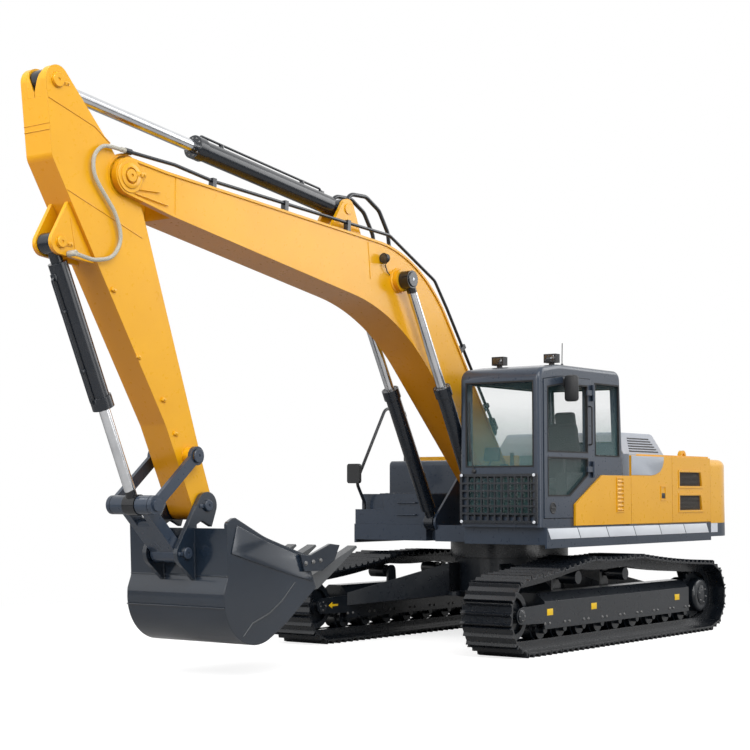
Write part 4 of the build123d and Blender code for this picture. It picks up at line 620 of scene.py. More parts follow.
def rounded(points, bends, steps=6):
    """Straight runs joined by arcs of the given bend at each inner corner."""
    path = [Vector(p) for p in points]
    out = [path[0]]
    for before, corner, after, bend in zip(path, path[1:], path[2:], bends):
        back, on = (before - corner).normalized(), (after - corner).normalized()
        half = back.angle(on) / 2
        run = bend / math.tan(half)
        centre = corner + (back + on).normalized() * (bend / math.sin(half))
        start, end = corner + back * run - centre, corner + on * run - centre
        out += [centre + start.lerp(end, i / steps).normalized() * bend for i in range(steps + 1)]
    return out + [path[-1]]


def window_frame(shape, corners, normal, width, low, high):
    """A frame just inside a flat opening, between two heights along its normal."""
    path = [Vector(c) for c in corners]
    normal = Vector(normal).normalized()
    inner = []
    for i, corner in enumerate(path):
        back, on = (path[i - 1] - corner).normalized(), (path[(i + 1) % len(path)] - corner).normalized()
        inner.append(corner + (back + on).normalized() * (width / math.sin(back.angle(on) / 2)))
    loops = [(path, low), (path, high), (inner, high), (inner, low)]
    rings = [[shape.verts.new(place(*(p + normal * rise))) for p in ring] for ring, rise in loops]
    for a, b in zip(rings, rings[1:] + rings[:1]):
        belt(shape, a, b)


def cushion(shape, centre, size, radius, crown, turn, pull=0.03, cuts=9):
    """A padded block: rounded all round, crowned above and pulled in along its sides."""
    form = bmesh.new()
    bmesh.ops.create_cube(form, size=2.0)
    bmesh.ops.subdivide_edges(form, edges=form.edges[:], cuts=cuts, use_grid_fill=True)
    half = Vector(size) / 2
    spin = Matrix.Rotation(math.radians(turn), 3, "Y")
    for vert in form.verts:
        u, v, w = vert.co
        waist_u, waist_v = 1 - pull * (1 - v * v), 1 - pull * (1 - u * u)
        at = Vector((u * half.x * waist_u, v * half.y * waist_v, w * half.z))
        core = Vector([max(radius - h, min(h - radius, c)) for c, h in zip(at, half)])
        out = at - core
        at = core + out.normalized() * radius if out.length > 0 else at
        at.z += crown * (1 - u * u) * (1 - v * v) * max(0, w)
        vert.co = place(*(Vector(centre) + spin @ at))
    spare = bpy.data.meshes.new("cushion")
    form.to_mesh(spare)
    form.free()
    shape.from_mesh(spare)
    bpy.data.meshes.remove(spare)


# Boom

TIP_RING = ((150, 0), (150, 7), (146, 10), (112, 10), (112, 18), (108, 20), (72, 20), (72, 0))
TIP_RING_Y = 224
TIP_CAP_Y = 236
TIP_KEEPER_Y = 240
FOOT_CAP_Y = 270
BOOM_WEB_Y = 211
BOOM_EDGE_Y = 225

# Weld beads: distance out, side-view points and radius
BOOM_BEADS = (
    (BOOM_WEB_Y, ((5941, 4158), (5941, 4494)), 9),
    (BOOM_EDGE_Y, ((6505, 4314), (6154, 4329)), 7),
    (BOOM_EDGE_Y, ((6464, 4276), (6047, 4225)), 7),
    (BOOM_WEB_Y, ((3020, 3890), (3060, 4268)), 7),
    (BOOM_WEB_Y, ((1180, 2640), (1400, 2477)), 7),
)
EYE_SEAT = ((136, 0), (136, 6), (122, 16), (118, 16))

# Manifold behind the boom's foot: its block, ports and bolts
MANIFOLD_TURN = -53.05
PORT_AXIS = (-0.601, 0, -0.799)
PORT_FORM = ((30, -6), (30, 26), (24, 32), (18, 52))
MANIFOLD = (
    (slab, (672, 0, 2442), (150, 470, 112), 10, MANIFOLD_TURN),
    *[(lathe, (627, y, 2382), PORT_AXIS, PORT_FORM, 12) for y in range(-195, 196, 65)],
    *[(bolt, (632, y, 2470), (-0.799, 0, 0.601), 16) for y in (-215, 215)],
)

LAMP_BRACKET = (2800, 4110)
LAMP_BRACKET_Y = 236
LAMP_SHELL = (2795, 4121)
LAMP_SHELL_FORM = ((30, 0), (48, 20), (52, 62), (52, 74), (45, 74))
LAMP_LENS = (2864, 4121)
LAMP_LENS_FORM = ((44, 0), (44, 3), (30, 7))
LAMP_Y = 268
LAMP_WIRE = ((2800, 240, 4060), (2760, 236, 3990), (2700, 228, 3960))

ROD_PIN_Y = 290
ROD_PIN_FORM = ((54, 0), (54, 112), (80, 113), (80, 121), (74, 126), (20, 126))
ROD_NIPPLE_Y = 414
ROD_NIPPLE_FORM = ((17, 0), (17, 4), (12, 7))


def boom_pins():
    """Rings, caps and keeper plates on the boom's own pins."""
    rings, caps, keepers = blank(3)
    for side in SIDES:
        boss(rings, BOOM_TIP, side, TIP_RING_Y, TIP_RING, 40)
        pin_cap(caps, BOOM_TIP, side, TIP_CAP_Y, 58, (14, 18), 5, (16, 8), 32)
        pin_cap(caps, BOOM_FOOT, side, FOOT_CAP_Y, 72, (10, 14), 6, (18, 6), 32)
        keeper(keepers, BOOM_TIP, side, TIP_KEEPER_Y, (-118, 28), (120, 12, 46), 4, (-40, 6), 13)
    piece("boom_tip_rings", "boom", YELLOW, rings)
    piece("boom_tip_keepers", "boom", YELLOW, keepers)
    piece("boom_pin_caps", "boom", YELLOW, caps)


def boom_welds():
    """Weld beads on the boom's sides, and the seat round the boom cylinders' pin."""
    welds = bmesh.new()
    for side in SIDES:
        side_beads(welds, side, BOOM_BEADS)
        boss(welds, BOOM_CYL_EYE, side, BOOM_WEB_Y, EYE_SEAT, 36)
    piece("boom_welds", "boom", YELLOW, welds)


def boom_manifold():
    """The block of hose ports behind the boom's foot."""
    piece("boom_manifold", "boom", BLACK, built(MANIFOLD))


def boom_lamps():
    """A round working lamp with its wire on each side of the boom."""
    shells, lenses = blank(2)
    for side in SIDES:
        slab(shells, across(LAMP_BRACKET, side * LAMP_BRACKET_Y), (50, 26, 80), 5)
        lathe(shells, across(LAMP_SHELL, side * LAMP_Y), FORWARD, LAMP_SHELL_FORM)
        lathe(lenses, across(LAMP_LENS, side * LAMP_Y), FORWARD, LAMP_LENS_FORM)
        tube(shells, [(x, side * y, z) for x, y, z in LAMP_WIRE], 6, 8)
    piece("boom_lamps", "boom", PLASTIC, shells)
    piece("boom_lamp_lenses", "boom", LENS, lenses)


def boom_rod_pins():
    """The boom cylinders' upper pins, with a grease nipple in each end."""
    pins, nipples = blank(2)
    for side in SIDES:
        boss(pins, BOOM_CYL_EYE, side, ROD_PIN_Y, ROD_PIN_FORM, 32)
        boss(nipples, BOOM_CYL_EYE, side, ROD_NIPPLE_Y, ROD_NIPPLE_FORM, 16)
    piece("boom_rod_pins", "boom_rods", BLACK, pins)
    piece("boom_rod_nipples", "boom_rods", WHITE, nipples)


# Cylinders: body, base pin, way to eye, barrel radius, tube's run, gland's place, bolt circle, places across
CYLINDERS = (
    ("boom_barrels", (1090, 1340), (1440, 2580), 82, (270, 1610), 1690, 75, (345, -345)),
    ("arm_barrel", (3280, 4595), (4035, 523), 98, (330, 2150), 2230, 85, (0,)),
    ("bucket_barrel", BUCKET_CYL_EAR, (-1013, -2200), 84, (280, 1420), 1500, 73, (0,)),
)
OIL_TUBE_LIFT = 34
OIL_TUBE_SINK = 4
OIL_TUBE_BEND = 26
OIL_CLIP_LIFT = 14
OIL_CLIP_INSET = 300
GLAND_BOLTS = 10


def cylinder_fittings(body, base, way, radius, run, gland, bolt_radius, rows):
    """The oil tube along a barrel, with its ports and clips, and the bolts round its gland."""
    fittings, bolts = blank(2)
    length = math.hypot(*way)
    dx, dz = way[0] / length, way[1] / length
    tilt = -math.degrees(math.atan2(dz, dx))
    first, last = run

    def spot(distance, lift, y):
        """A place at a distance along the cylinder and a lift above its axis."""
        return (base[0] + dx * distance - dz * lift, y, base[1] + dz * distance + dx * lift)

    low, high = radius + OIL_TUBE_SINK, radius + OIL_TUBE_LIFT
    for y in rows:
        corners = [spot(d, lift, y) for d, lift in ((first, low), (first, high), (last, high), (last, low))]
        tube(fittings, rounded(corners, [OIL_TUBE_BEND] * 2), 12, 12)
        for d in run:
            slab(fittings, spot(d, radius, y), (62, 62, 30), 6, tilt)
        for d in (first + OIL_CLIP_INSET, last - OIL_CLIP_INSET):
            slab(fittings, spot(d, radius + OIL_CLIP_LIFT, y), (34, 44, 44), 6, tilt)
        bolt_ring(bolts, spot(gland, 0, y), (dx, 0, dz), bolt_radius, GLAND_BOLTS, 10)
    piece(f"{body}_pipes", body, BLACK, fittings)
    piece(f"{body}_gland_bolts", body, BOLT, bolts)


def all_cylinder_fittings():
    """The fittings of the boom's, arm's and bucket's cylinders."""
    for row in CYLINDERS:
        cylinder_fittings(*row)


# Arm

ARM_SIDE_Y = 156
ARM_EAR_Y = 118
ARM_BEADS = (
    (ARM_SIDE_Y, ((7414, 4955), (6882, 4798), (6704, 4685)), 7),
    (ARM_SIDE_Y, ((7190, 4211), (6300, 3909)), 7),
    (ARM_EAR_Y, ((7116, 3985), (7040, 3660)), 6),
)
HEAD_SEAMS = ((7397, 4742), (7392, 4690))
TIP_SEAM = ((196, 0), (196, 4), (182, 4), (182, 0.5))
TIP_SEAM_Y = 155.5

# Pins of the arm with their caps' distance out and radius
ARM_PINS = ((ARM_EYE, 167, 62), (BUCKET_CYL_EAR, 129, 50))
ARM_KEEPER_SINK = 10
ARM_CLIPS = ((6648, 3415), (6337, 2857), (6020, 2495), (5860, 2200))
ARM_CLIP_Y = 164
ARM_CLIP_SIZE = (52, 20, 34)

# Front plate between the head's cheeks, with its notch: place, outward normal and half width of the notch
HEAD_PLATE = (
    (7421, 4935, 0.992, -0.124, 3),
    (7430, 5008, 0.992, -0.124, 4),
    (7442, 5102, 0.992, -0.124, 42),
    (7439, 5149, 0.966, 0.259, 62),
    (7420, 5191, 0.819, 0.574, 78),
)
HEAD_HALF = 86
HEAD_DEEP = 13
ROCKER_CAP_Y = 283

# Hose from the boom pipe's end: route in side view from there, and the bend at each corner
PIPE_END = (6560.2, 4640.3)
ARM_HOSE_Y = 195
ARM_HOSE_ROUTE = ((1, 0), (255, 10), (395, -90), (365, -280), (115, -550), (5, -780), (135, -965),
                  (365, -1000), (575, -965))
ARM_HOSE_BENDS = (85, 110, 150, 150, 130, 120, 120)
ARM_HOSE_STEP = 14
ARM_HOSE_RADII = (17.4, 18)
HOSE_NUT_RADIUS = 25
HOSE_END_Y = 118.5
HOSE_END_FORM = ((24, 0), (26, 4), (26, 96), (20, 102))
SMOOTHING_ROUNDS = 60


def arm_pins():
    """Caps and keeper plates on the arm's pins, its weld beads and the clips for the pipe down its side."""
    caps, welds, keepers = blank(3)
    for side in SIDES:
        for pin, y, radius in ARM_PINS:
            pin_cap(caps, pin, side, y, radius, (9, 13), 5, (15, 5))
            keeper(keepers, pin, side, y - ARM_KEEPER_SINK, (-92, -10), (80, 12, 38), 4, (-22, 14), 10)
        side_beads(welds, side, ARM_BEADS)
        for seam in HEAD_SEAMS:
            bead(welds, [across(seam, 0), across(seam, side * ARM_SIDE_Y)], 6)
        boss(welds, BOOM_TIP, side, TIP_SEAM_Y, TIP_SEAM, 40)
    for clip in ARM_CLIPS:
        slab(keepers, across(clip, ARM_CLIP_Y), ARM_CLIP_SIZE, 4, -20)
        bolt(keepers, across(clip, ARM_CLIP_Y + ARM_CLIP_SIZE[1] / 2), LEFT, 9)
    piece("arm_pin_caps", "arm", YELLOW, caps)
    piece("arm_welds", "arm", YELLOW, welds)
    piece("arm_keepers", "arm", YELLOW, keepers)


def arm_head():
    """The notched front plate of the arm's head, and the caps on the rocker's pin."""
    plate, caps = blank(2)
    for side in SIDES:
        rings = []
        for x, z, nx, nz, gap in HEAD_PLATE:
            ring = ((0, HEAD_HALF), (0, gap), (HEAD_DEEP, gap), (HEAD_DEEP, HEAD_HALF))
            rings.append([plate.verts.new(place(x - nx * deep, side * y, z - nz * deep)) for deep, y in ring])
        ringed(plate, rings)
        pin_cap(caps, ROCKER_PIN, side, ROCKER_CAP_Y, 64, (9, 13), 6, (15, 5))
    piece("arm_head_plate", "arm", YELLOW, plate)
    piece("rocker_pin_caps", "arm", CHARCOAL, caps)


def by_pipe_end(dx, dz, y=ARM_HOSE_Y):
    """A place measured in side view from the boom pipe's end."""
    return (PIPE_END[0] + dx, y, PIPE_END[1] + dz)


def arm_hose():
    """The braided hose in a double bend beside the arm, from the boom's pipe to the bucket cylinder's ear."""
    corners = [by_pipe_end(*p) for p in ARM_HOSE_ROUTE]
    path = divided(rounded(corners, ARM_HOSE_BENDS, 10), ARM_HOSE_STEP, 1)
    for _ in range(SMOOTHING_ROUNDS):
        middle = [(a + 2 * b + c) / 4 for a, b, c in zip(path[3:], path[4:], path[5:-3])]
        path = path[:4] + middle + path[-4:]
    hose = bmesh.new()
    tube(hose, path, [ARM_HOSE_RADII[i % 2] for i in range(len(path))], 14)
    tube(hose, [path[0], path[0].lerp(path[1], 0.99), path[2], path[3]], HOSE_NUT_RADIUS, 6)
    lathe(hose, by_pipe_end(*ARM_HOSE_ROUTE[-1], HOSE_END_Y), LEFT, HOSE_END_FORM, 12)
    made = piece("arm_hose", None, BRAID, hose)
    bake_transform(made)
    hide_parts("arm_hoses")


# Bucket, in side view from its pin

WEAR_BAND = ((40, -175), (-345, -318), (-925, -490), (-1035, -715), (-589, -607), (-122, -486), (112, -424))
WEAR_BAND_Y = (598, 611)
# A bright steel line along the curve of each side of the bucket: a painted highlight.
PAINTED_HIGHLIGHT_LINE = ((-782, -710), (-590, -874), (-414, -977), (-184, -1053), (-60, -1163))
PAINTED_HIGHLIGHT_RADII = [4, 8, 9, 8, 4]
PAINTED_HIGHLIGHT_Y = 600
CUTTER_BOLTS = ((-900, -540), (-1010, -530), (-1120, -520))
CUTTER_BOLT_Y = 632
EAR_SEAM = ((176, -340), (160, -640))
EAR_SEAM_YS = (168, 213)

# Seams along the bucket's back: place and radius
BACK_SEAMS = ((150, -622, 9), (198, -900, 7))
BACK_SEAM_Y = 596
BUCKET_CAP_Y = 224
BUCKET_KEEPER_Y = 216


def at_bucket(x, z):
    """A side-view place from the bucket's pin."""
    return (BUCKET_PIN[0] + x, BUCKET_PIN[1] + z)


def bucket_details():
    """Wear plates, a painted highlight as a bright steel line along each side's curve, cutter bolts, welds
    and pin caps on the bucket.
    """
    band, highlight_line, bolts, seams, caps = blank(5)
    for side in SIDES:
        side_prism(band, [at_bucket(*p) for p in WEAR_BAND], side, WEAR_BAND_Y, 4)
        # Painted highlight: a bright steel line along the side's curve.
        tube(highlight_line, [across(at_bucket(*p), side * PAINTED_HIGHLIGHT_Y) for p in PAINTED_HIGHLIGHT_LINE], PAINTED_HIGHLIGHT_RADII, 8)
        for spot in CUTTER_BOLTS:
            bolt(bolts, across(at_bucket(*spot), side * CUTTER_BOLT_Y), (0, side, 0), 22)
        for pin in (BUCKET_PIN, LINK_PIN):
            pin_cap(caps, pin, side, BUCKET_CAP_Y, 52, (10, 15), 6, (14, 6))
            keeper(caps, pin, side, BUCKET_KEEPER_Y, (78, -4), (60, 10, 34), 3, (14,), 9)
        side_beads(seams, side, [(y, [at_bucket(*p) for p in EAR_SEAM], 8) for y in EAR_SEAM_YS])
    for x, z, radius in BACK_SEAMS:
        bead(seams, [across(at_bucket(x, z), y) for y in (-BACK_SEAM_Y, BACK_SEAM_Y)], radius)
    piece("bucket_wear_plates", "bucket", BUCKET, band)
    piece("bucket_painted_highlight_lines", "bucket", TOOTH, highlight_line)
    piece("bucket_cutter_bolts", "bucket", BOLT, bolts)
    piece("bucket_welds", "bucket", BUCKET, seams)
    piece("bucket_pin_caps", "bucket", CHARCOAL, caps)


# Cab

# Rubber frames: width, and the heights between which they stand on the glass's normal
FIXED_RUBBER = (16, -18, 3)
DOOR_RUBBER = (16, -26, 3)
FRONT_X = 1725
FRONT_PANES = (((530, 1945), (1387, 2860)), ((545, 1420), (1372, 1850)))
LEFT_PANE_Y = 1462
LEFT_PANE = ((-20, 2075), (545, 2890))
RIGHT_PANE_Y = 455
RIGHT_PANE = ((190, 1960), (1560, 2860))
REAR_PANE = ((-102, 565, 2240), (-102, 1352, 2240), (-70, 1352, 2860), (-70, 565, 2860))
REAR_NORMAL = (-1, 0, 0.05)

DOOR_Y = 1470
DOOR_PANES = (
    ((1580, 2105), (1580, 2805), (1275, 2850), (715, 2850), (715, 2105)),
    ((1580, 1635), (1580, 2055), (715, 2055), (715, 1860), (1115, 1635)),
)
DOOR_LATCH_FORM = ((62, 0), (62, 6), (54, 9), (48, 3), (10, 2.5))
DOOR_GRIP = ((690, 1470, 2200), (690, 1510, 2200), (690, 1510, 2620), (690, 1470, 2620))
DOOR_HANDLE = (
    (lathe, (1479, 1468, 1513), LEFT, DOOR_LATCH_FORM, 28),
    (slab, (1479, 1474, 1513), (86, 8, 22), 3),
    (tube, rounded(DOOR_GRIP, [22, 22]), 9),
)

# Wiper's hub, arm and blade, then the aerial and its foot
WIPER_AND_AERIAL = (
    (lathe, (1724, 640, 1905), FORWARD, ((26, 0), (26, 14), (14, 22)), 18),
    (tube, ((1740, 640, 1905), (1742, 610, 2120), (1726, 575, 2330)), 7, 8),
    (slab, (1718, 575, 2330), (14, 14, 640), 3),
    (tube, rounded(((1144, 1400, 3020), (1144, 1400, 3120), (1140, 1402, 3290)), [60]), 5, 8),
    (lathe, (1144, 1400, 3028), UP, ((18, 0), (18, 20), (9, 40)), 14),
)
ROOF_HATCH = (
    (slab, (640, 958, 3052), (760, 620, 16), 7),
    *[(slab, (640, y, 3062), (640, 26, 12), 5) for y in (760, 1156)],
)
ROOF_LENSES = [(slab, (1226, y, 3127), (8, 122, 68), 3) for y in (625, 1292)]
GUARD_CAP_FORM = ((17, 0), (17, 4), (12, 8))
GUARD_CAPS = [(lathe, (1771, y, z), FORWARD, GUARD_CAP_FORM, 18) for y in (505, 1412) for z in (1365, 1860)]

# Cushions: centre, size, edge radius, crown and lean
SEAT_CUSHIONS = (
    ((620, 958, 1755), (470, 462, 110), 42, 26, 0),
    ((402, 958, 2130), (650, 440, 110), 42, 22, -80),
    ((318, 958, 2500), (170, 250, 90), 38, 14, -80),
)
BELLOWS_PLACE = (600, 958, 1370)
BELLOWS_FOLDS = tuple((125 if i % 2 else 110, 90 + 20 * i) for i in range(7))
BELLOWS = ((180, 0), (180, 20), (120, 40), *BELLOWS_FOLDS, (160, 260), (190, 325))
SCREEN = (1460, 700, 2090)
SCREEN_ARM = ((1480, 700, 2020), (1500, 640, 1900), (1560, 540, 1800))
PEDAL_YS = (900, 1016)
PEDAL_LEVER = ((1430, 1372), (1430, 1700), (1380, 1860))
PEDAL = (1440, 1400)


def cab_windows():
    """Rubber frames in the cab's fixed windows."""
    rubber = bmesh.new()
    for pane in FRONT_PANES:
        window_frame(rubber, [(FRONT_X, y, z) for y, z in oblong(*pane)], FORWARD, *FIXED_RUBBER)
    window_frame(rubber, [across(p, LEFT_PANE_Y) for p in oblong(*LEFT_PANE)], LEFT, *FIXED_RUBBER)
    window_frame(rubber, [across(p, RIGHT_PANE_Y) for p in oblong(*RIGHT_PANE)], RIGHT, *FIXED_RUBBER)
    window_frame(rubber, REAR_PANE, REAR_NORMAL, *FIXED_RUBBER)
    piece("cab_window_rubbers", "upper", GASKET, rubber)


def cab_door():
    """Rubber frames, latch and grip on the cab's door."""
    rubber = bmesh.new()
    for pane in DOOR_PANES:
        window_frame(rubber, [across(p, DOOR_Y) for p in pane], LEFT, *DOOR_RUBBER)
    piece("door_window_rubbers", "cab_door", GASKET, rubber)
    piece("door_handle", "cab_door", PLASTIC, built(DOOR_HANDLE))


def cab_wiper():
    """The windscreen's wiper and the aerial on the roof."""
    piece("cab_wiper_and_aerial", "upper", PLASTIC, built(WIPER_AND_AERIAL))


def cab_roof():
    """The roof's hatch, the lenses of its lamps and the caps on the front guard's bolts."""
    piece("cab_roof_hatch", "upper", CHARCOAL, built(ROOF_HATCH))
    piece("roof_lamp_lenses", "upper", LENS, built(ROOF_LENSES))
    piece("guard_bolt_caps", "upper", WHITE, built(GUARD_CAPS))


def cab_inside():
    """The seat's cushions on their bellows, the screen and the pedals."""
    seat, base = blank(2)
    for row in SEAT_CUSHIONS:
        cushion(seat, *row)
    made = piece("seat_cushions", "upper", CLOTH, seat)
    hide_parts("operator_seat")
    lathe(base, BELLOWS_PLACE, UP, BELLOWS, 28)
    slab(base, SCREEN, (40, 190, 150), 10, -12)
    tube(base, rounded(SCREEN_ARM, [60]), 12, 8)
    for y in PEDAL_YS:
        tube(base, rounded([across(p, y) for p in PEDAL_LEVER], [90]), 10, 8)
        slab(base, across(PEDAL, y), (190, 90, 16), 5, -18)
    piece("cab_controls", "upper", PLASTIC, base)


# Side panels, hood and deck

VENT = ((-55, 1455), (110, 1845))
VENT_SLATS = 8
VENT_SLAT_STEP = 45
LATCH = ((-1100, 1585), (-975, 1755))
LATCH_HANDLE = (-1037, 1640)
GREY_PATCH = ((-248, 1876), (-248, 2097), (-1062, 2097), (-1056, 2036), (-1020, 1972), (-955, 1920),
              (-860, 1890), (-740, 1876))
GREY_PATCH_Y = (1489, 1495)

# Radiator openings: low and high edge; the frame stands off them, and its rear corner leans with the tail
RADIATOR_OPENINGS = ((1465, 1640), (1755, 1920))
RADIATOR_SLATS = 11
RADIATOR_FRAME_X = (-2112, -1442, -1442, -2068)
RADIATOR_FRAME_GAP = 28

HOOD_X = -1640
HOOD_MIDDLE_Y = 30
HOOD_LEAN = 27.35
HOOD_FOOT = (960, 2120)
HOOD_SLOPE = (150, 290)
HOOD_SIDE_LOUVRES = 6
HOOD_TOP_LOUVRES = 7
HOOD_TOP_Z = 2411

STRIP_LENGTH = 640
STRIP_GAP = 16
STRIP_SLANT = 70
STRIP_Y = (1489.5, 1492.5)
STRIP_FRONT = {1: 1630, -1: 1050}
STRIP_BACK = -2325
STRIP_LAST = -2200

# Right deck: filler cap, tread plate with its bars, and steps
FILLER_FORM = ((92, 0), (92, 12), (70, 16), (70, 50), (62, 58), (24, 62))
STEP_RUNG = ((1035, -860), (1075, -860), (1075, -600), (1035, -600))
RIGHT_DECK = (
    (lathe, (60, -760, 2056), UP, FILLER_FORM, 28),
    (slab, (640, -900, 1664), (480, 700, 8), 3),
    *[(slab, (450 + 48 * i, -1180 + 110 * j, 1669), (38, 9, 4), 1, 45 if (i + j) % 2 else -45, "Z")
      for i in range(9) for j in range(6)],
    *[(tube, rounded([(x, y, z) for x, y in STEP_RUNG], [20, 20]), 9, 8) for z in (1420, 1560)],
)
PUMP_BOLTS = [(bolt, (x, -PANEL_Y, z), RIGHT, 13) for x in (-2240, -1400) for z in (1380, 2040)]

# Left mirror's shell, stalk and foot, and both mirrors' faces
MIRROR_SHELL = (
    (slab, (1226, 1563, 2792), (72, 164, 286), 34),
    (tube, rounded(((1222, 1468, 2858), (1222, 1520, 2870), (1222, 1560, 2850)), [30]), 12),
    (slab, (1222, 1473, 2850), (60, 10, 90)),
)
LEFT_MIRROR_FACE = ((slab, (1190, 1563, 2792), (4, 108, 226), 2),)
RIGHT_MIRROR_FACE = ((slab, (1159, -1400, 1900), (4, 150, 200), 2),)


def side_panels():
    """Vents, latch, handle and grey patch on the left panels, and the radiator's grilles."""
    vents, latch, handle, slats, frames, patch = blank(6)
    window_frame(vents, [across(p, PANEL_Y) for p in oblong(*VENT)], LEFT, 14, -2, 9)
    for i in range(VENT_SLATS):
        slab(vents, (28, PANEL_Y + 3, VENT[0][1] + 35 + VENT_SLAT_STEP * i), (132, 12, 22), 3, 25, "X")
    window_frame(latch, [across(p, PANEL_Y) for p in oblong(*LATCH)], LEFT, 14, -2, 8)
    slab(handle, across(LATCH_HANDLE, PANEL_Y + 2), (86, 10, 60))
    prism(patch, GREY_PATCH, *GREY_PATCH_Y, 2)
    for low, high in RADIATOR_OPENINGS:
        slab(slats, (-1775, 1459, (low + high) / 2), (640, 6, high - low + 30), 2)
        edges = (low - RADIATOR_FRAME_GAP,) * 2 + (high + RADIATOR_FRAME_GAP,) * 2
        corners = [(x, PANEL_Y, z) for x, z in zip(RADIATOR_FRAME_X, edges)]
        window_frame(frames, corners, LEFT, 26, -2, 7)
        for i in range(RADIATOR_SLATS):
            z = low + (i + 0.5) * (high - low) / RADIATOR_SLATS
            slab(slats, (-1765, 1474, z), (575, 16, 4), 1, 35, "X")
    piece("side_panel_vents", "upper", YELLOW, vents)
    piece("service_door_latch", "service_door", YELLOW, latch)
    piece("service_door_handle", "service_door", PLASTIC, handle)
    piece("service_door_patch", "service_door", SILVER, patch)
    piece("radiator_slats", "radiator_door", GRILLE, slats)
    piece("radiator_frames", "radiator_door", YELLOW, frames)


def hood_louvres():
    """Louvres on the hood's sloping sides and on its top."""
    louvres = bmesh.new()
    for i in range(HOOD_SIDE_LOUVRES):
        share = 0.2 + 0.11 * i
        y, z = HOOD_FOOT[0] - HOOD_SLOPE[0] * share + 2, HOOD_FOOT[1] + HOOD_SLOPE[1] * share + 1
        size = (760 - 40 * i, 10, 15)
        slab(louvres, (HOOD_X, y, z), size, 3, HOOD_LEAN, "X")
        slab(louvres, (HOOD_X, 2 * HOOD_MIDDLE_Y - y, z), size, 3, -HOOD_LEAN, "X")
    for i in range(HOOD_TOP_LOUVRES):
        slab(louvres, (HOOD_X, -420 + 150 * i, HOOD_TOP_Z), (560, 62, 8), 3)
    piece("hood_louvres", "engine_hood", PLASTIC, louvres)


def skirt_strips():
    """Slanted white strips along the skirts, from the cab's front to the tail."""
    strips = bmesh.new()
    foot, head = STRIP_Z
    for side in SIDES:
        front = STRIP_FRONT[side]
        while front > STRIP_LAST:
            back = max(front - STRIP_LENGTH + STRIP_GAP, STRIP_BACK + STRIP_SLANT)
            outline = [(front, head), (front - STRIP_SLANT, foot), (back - STRIP_SLANT, foot), (back, head)]
            side_prism(strips, outline, side, STRIP_Y, 1)
            front = back - STRIP_GAP
    piece("skirt_strips", "upper", WHITE, strips)


def right_deck():
    """Filler cap, tread plate and steps on the right deck, and the pump door's bolts."""
    piece("right_deck_fittings", "upper", CHARCOAL, built(RIGHT_DECK))
    piece("pump_door_bolts", "pump_door", BOLT, built(PUMP_BOLTS))


def mirrors():
    """The left mirror's shell and both mirrors' faces."""
    made = piece("left_mirror_shell", "cab_door", PLASTIC, built(MIRROR_SHELL))
    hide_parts("left_mirror")
    piece("left_mirror_face", "cab_door", MIRROR, built(LEFT_MIRROR_FACE))
    piece("right_mirror_face", "upper", MIRROR, built(RIGHT_MIRROR_FACE))


# Undercarriage

TRACK_Y = 1295
TRACK_FRAME_HALF = 190
ROLLER_COUNT = 9
ROLLER_STEP = 410
ROLLER_BOLT_DX = 48
ROLLER_BOLT_Z = 312
IDLER = (2150, 416)
IDLER_CAP = ((66, 0), (66, 8), (58, 12), (20, 12))
SPROCKET = (-2100, 428)
SPROCKET_CAP = ((120, 0), (120, 6), (112, 10), (30, 10))
SPROCKET_CAP_Y = 1463
ARROW = ((1870, 428), (1975, 428), (1975, 452), (2040, 416), (1975, 380), (1975, 404), (1870, 404))
ARROW_Y = (-1105.5, -1101)
PLATES = ((1582, 429), (642, 440), (-1377, 436))
PLATE_HALF = (60, 34)
PLATE_Y = (1484.5, 1487.5)


def undercarriage():
    """Bolts and caps on the track frames, and the blank yellow plates and arrow on their sides."""
    bolts, caps, plates = blank(3)
    for side in SIDES:
        for face in SIDES:
            out = (0, face, 0)
            y = side * TRACK_Y + face * TRACK_FRAME_HALF
            for i in range(ROLLER_COUNT):
                for dx in (-ROLLER_BOLT_DX, ROLLER_BOLT_DX):
                    bolt(bolts, ((i - ROLLER_COUNT // 2) * ROLLER_STEP + dx, y, ROLLER_BOLT_Z), out, 16)
            lathe(caps, across(IDLER, y), out, IDLER_CAP, 26)
            bolt_ring(bolts, across(IDLER, y + face * 12), out, 44, 4, 10)
        boss(caps, SPROCKET, side, SPROCKET_CAP_Y, SPROCKET_CAP, 32)
        bolt_ring(bolts, across(SPROCKET, side * (SPROCKET_CAP_Y + 10)), (0, side, 0), 90, 6, 12)
    prism(plates, ARROW, *ARROW_Y, 1)
    dx, dz = PLATE_HALF
    for side in SIDES:
        for x, z in PLATES:
            side_prism(plates, oblong((x - dx, z - dz), (x + dx, z + dz)), side, PLATE_Y, 1)
    piece("track_frame_bolts", "undercarriage", BOLT, bolts)
    piece("track_frame_caps", "undercarriage", DEEP, caps)
    piece("track_frame_arrow", "undercarriage", LEMON, plates)


# Stage and light

FLOOR_HALF_M = 120
FLOOR_GREYS = (0.40, 0.43)
FLOOR_GLOW = 0.78
FLOOR_FADE_M = (4.5, 9)
SKY_RISE = (0.05, 0.95)
SKY_LIGHT = (0.1, 0.62)

# Soft boxes: place, what they point at, size in metres and power
SOFT_BOXES = (
    ((9000, 9000, 11000), (1500, 0, 1500), 9, 1250),
    ((16000, -1500, 8000), (2500, 0, 2000), 9, 1150),
    ((-9000, 8000, 9000), (-1000, 0, 1500), 9, 650),
    ((3000, 14000, 3500), (1500, 0, 1500), 7, 330),
)


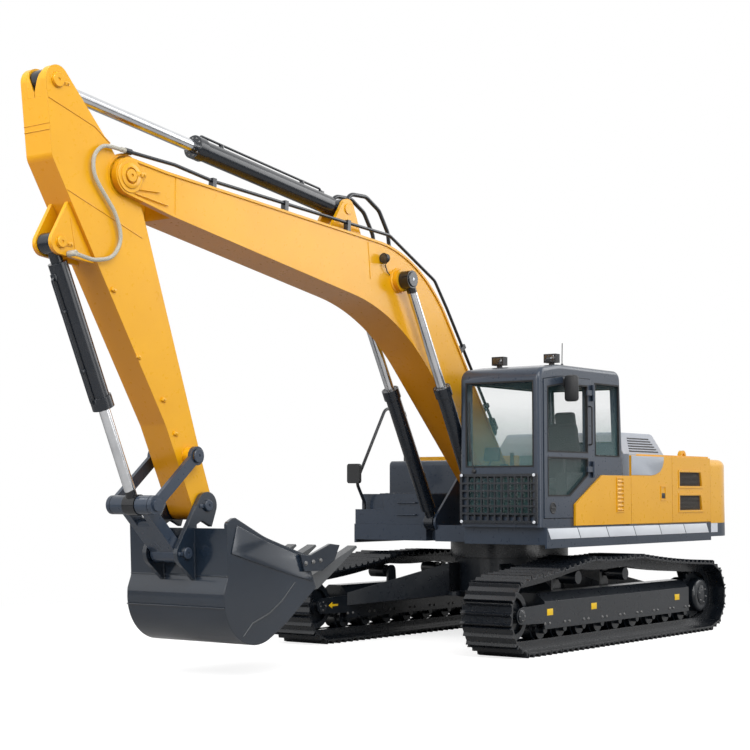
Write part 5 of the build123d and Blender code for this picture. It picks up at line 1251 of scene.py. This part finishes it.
def add_floor():
    """A plain pale floor, which keeps the machine's shadow and fades to white away from it."""
    mesh = bpy.data.meshes.new("floor")
    corners = [(x * FLOOR_HALF_M, y * FLOOR_HALF_M, 0) for x, y in oblong((-1, -1), (1, 1))]
    mesh.from_pydata(corners, [], [(0, 1, 2, 3)])
    made = bpy.data.objects.new("floor", mesh)
    bpy.context.scene.collection.objects.link(made)
    look = Look("floor")
    look.put("Base Color", look.ramp(look.noise(scale=0.8), (0.3, FLOOR_GREYS[0]), (0.7, FLOOR_GREYS[1])))
    look.put("Roughness", 0.9)
    look.put("Specular IOR Level", 0.1)
    seen = look.add("LightPath").outputs["Is Camera Ray"]
    look.put("Emission Color", (1, 1, 1, 1))
    look.put("Emission Strength", look.sums("MULTIPLY", seen, FLOOR_GLOW))
    far = look.vectors("LENGTH", look.coords(), result="Value")
    white = look.add("Emission")
    fade = look.add("MixShader")
    look.feed(fade.inputs["Fac"], look.sums("MULTIPLY", look.spread(far, *FLOOR_FADE_M), seen))
    look.feed(fade.inputs[1], look.shader.outputs["BSDF"])
    look.feed(fade.inputs[2], white.outputs["Emission"])
    look.feed(look.nodes["Material Output"].inputs["Surface"], fade.outputs["Shader"])
    mesh.materials.append(look.material)


def add_sky():
    """A white background, also in gloss and glass, that lights the machine less, and more from above."""
    world = bpy.data.worlds.new("studio")
    bpy.context.scene.world = world
    tree = Tree(world)
    background = tree.nodes["Background"]
    background.inputs["Color"].default_value = (1, 1, 1, 1)
    seen = tree.add("LightPath").outputs
    shown = tree.sums("MAXIMUM", seen["Is Camera Ray"], seen["Is Transmission Ray"])
    shown = tree.sums("MAXIMUM", shown, seen["Is Glossy Ray"])
    light = tree.by_axis(tree.coords("Generated"), "Z", *SKY_RISE, *SKY_LIGHT)
    tree.feed(background.inputs["Strength"], tree.spread(shown, 0, 1, light, 1))


def add_soft_boxes():
    """The studio's square area lamps."""
    for index, (where, target, size, power) in enumerate(SOFT_BOXES):
        data = bpy.data.lights.new(f"soft_box_{index}", "AREA")
        data.shape = "SQUARE"
        data.size = size
        data.energy = power
        lamp = bpy.data.objects.new(data.name, data)
        bpy.context.scene.collection.objects.link(lamp)
        lamp.location = place(*where)
        lamp.rotation_euler = (place(*target) - lamp.location).to_track_quat("-Z", "Y").to_euler()


# The whole scene, in order
STEPS = (
    add_camera, dress_nodes,
    boom_pins, boom_welds, boom_manifold, boom_lamps, boom_rod_pins, all_cylinder_fittings,
    arm_pins, arm_head, arm_hose, bucket_details,
    cab_windows, cab_door, cab_wiper, cab_roof, cab_inside,
    side_panels, hood_louvres, skirt_strips, right_deck, mirrors, undercarriage,
    add_floor, add_sky, add_soft_boxes,
)
for step in STEPS:
    step()
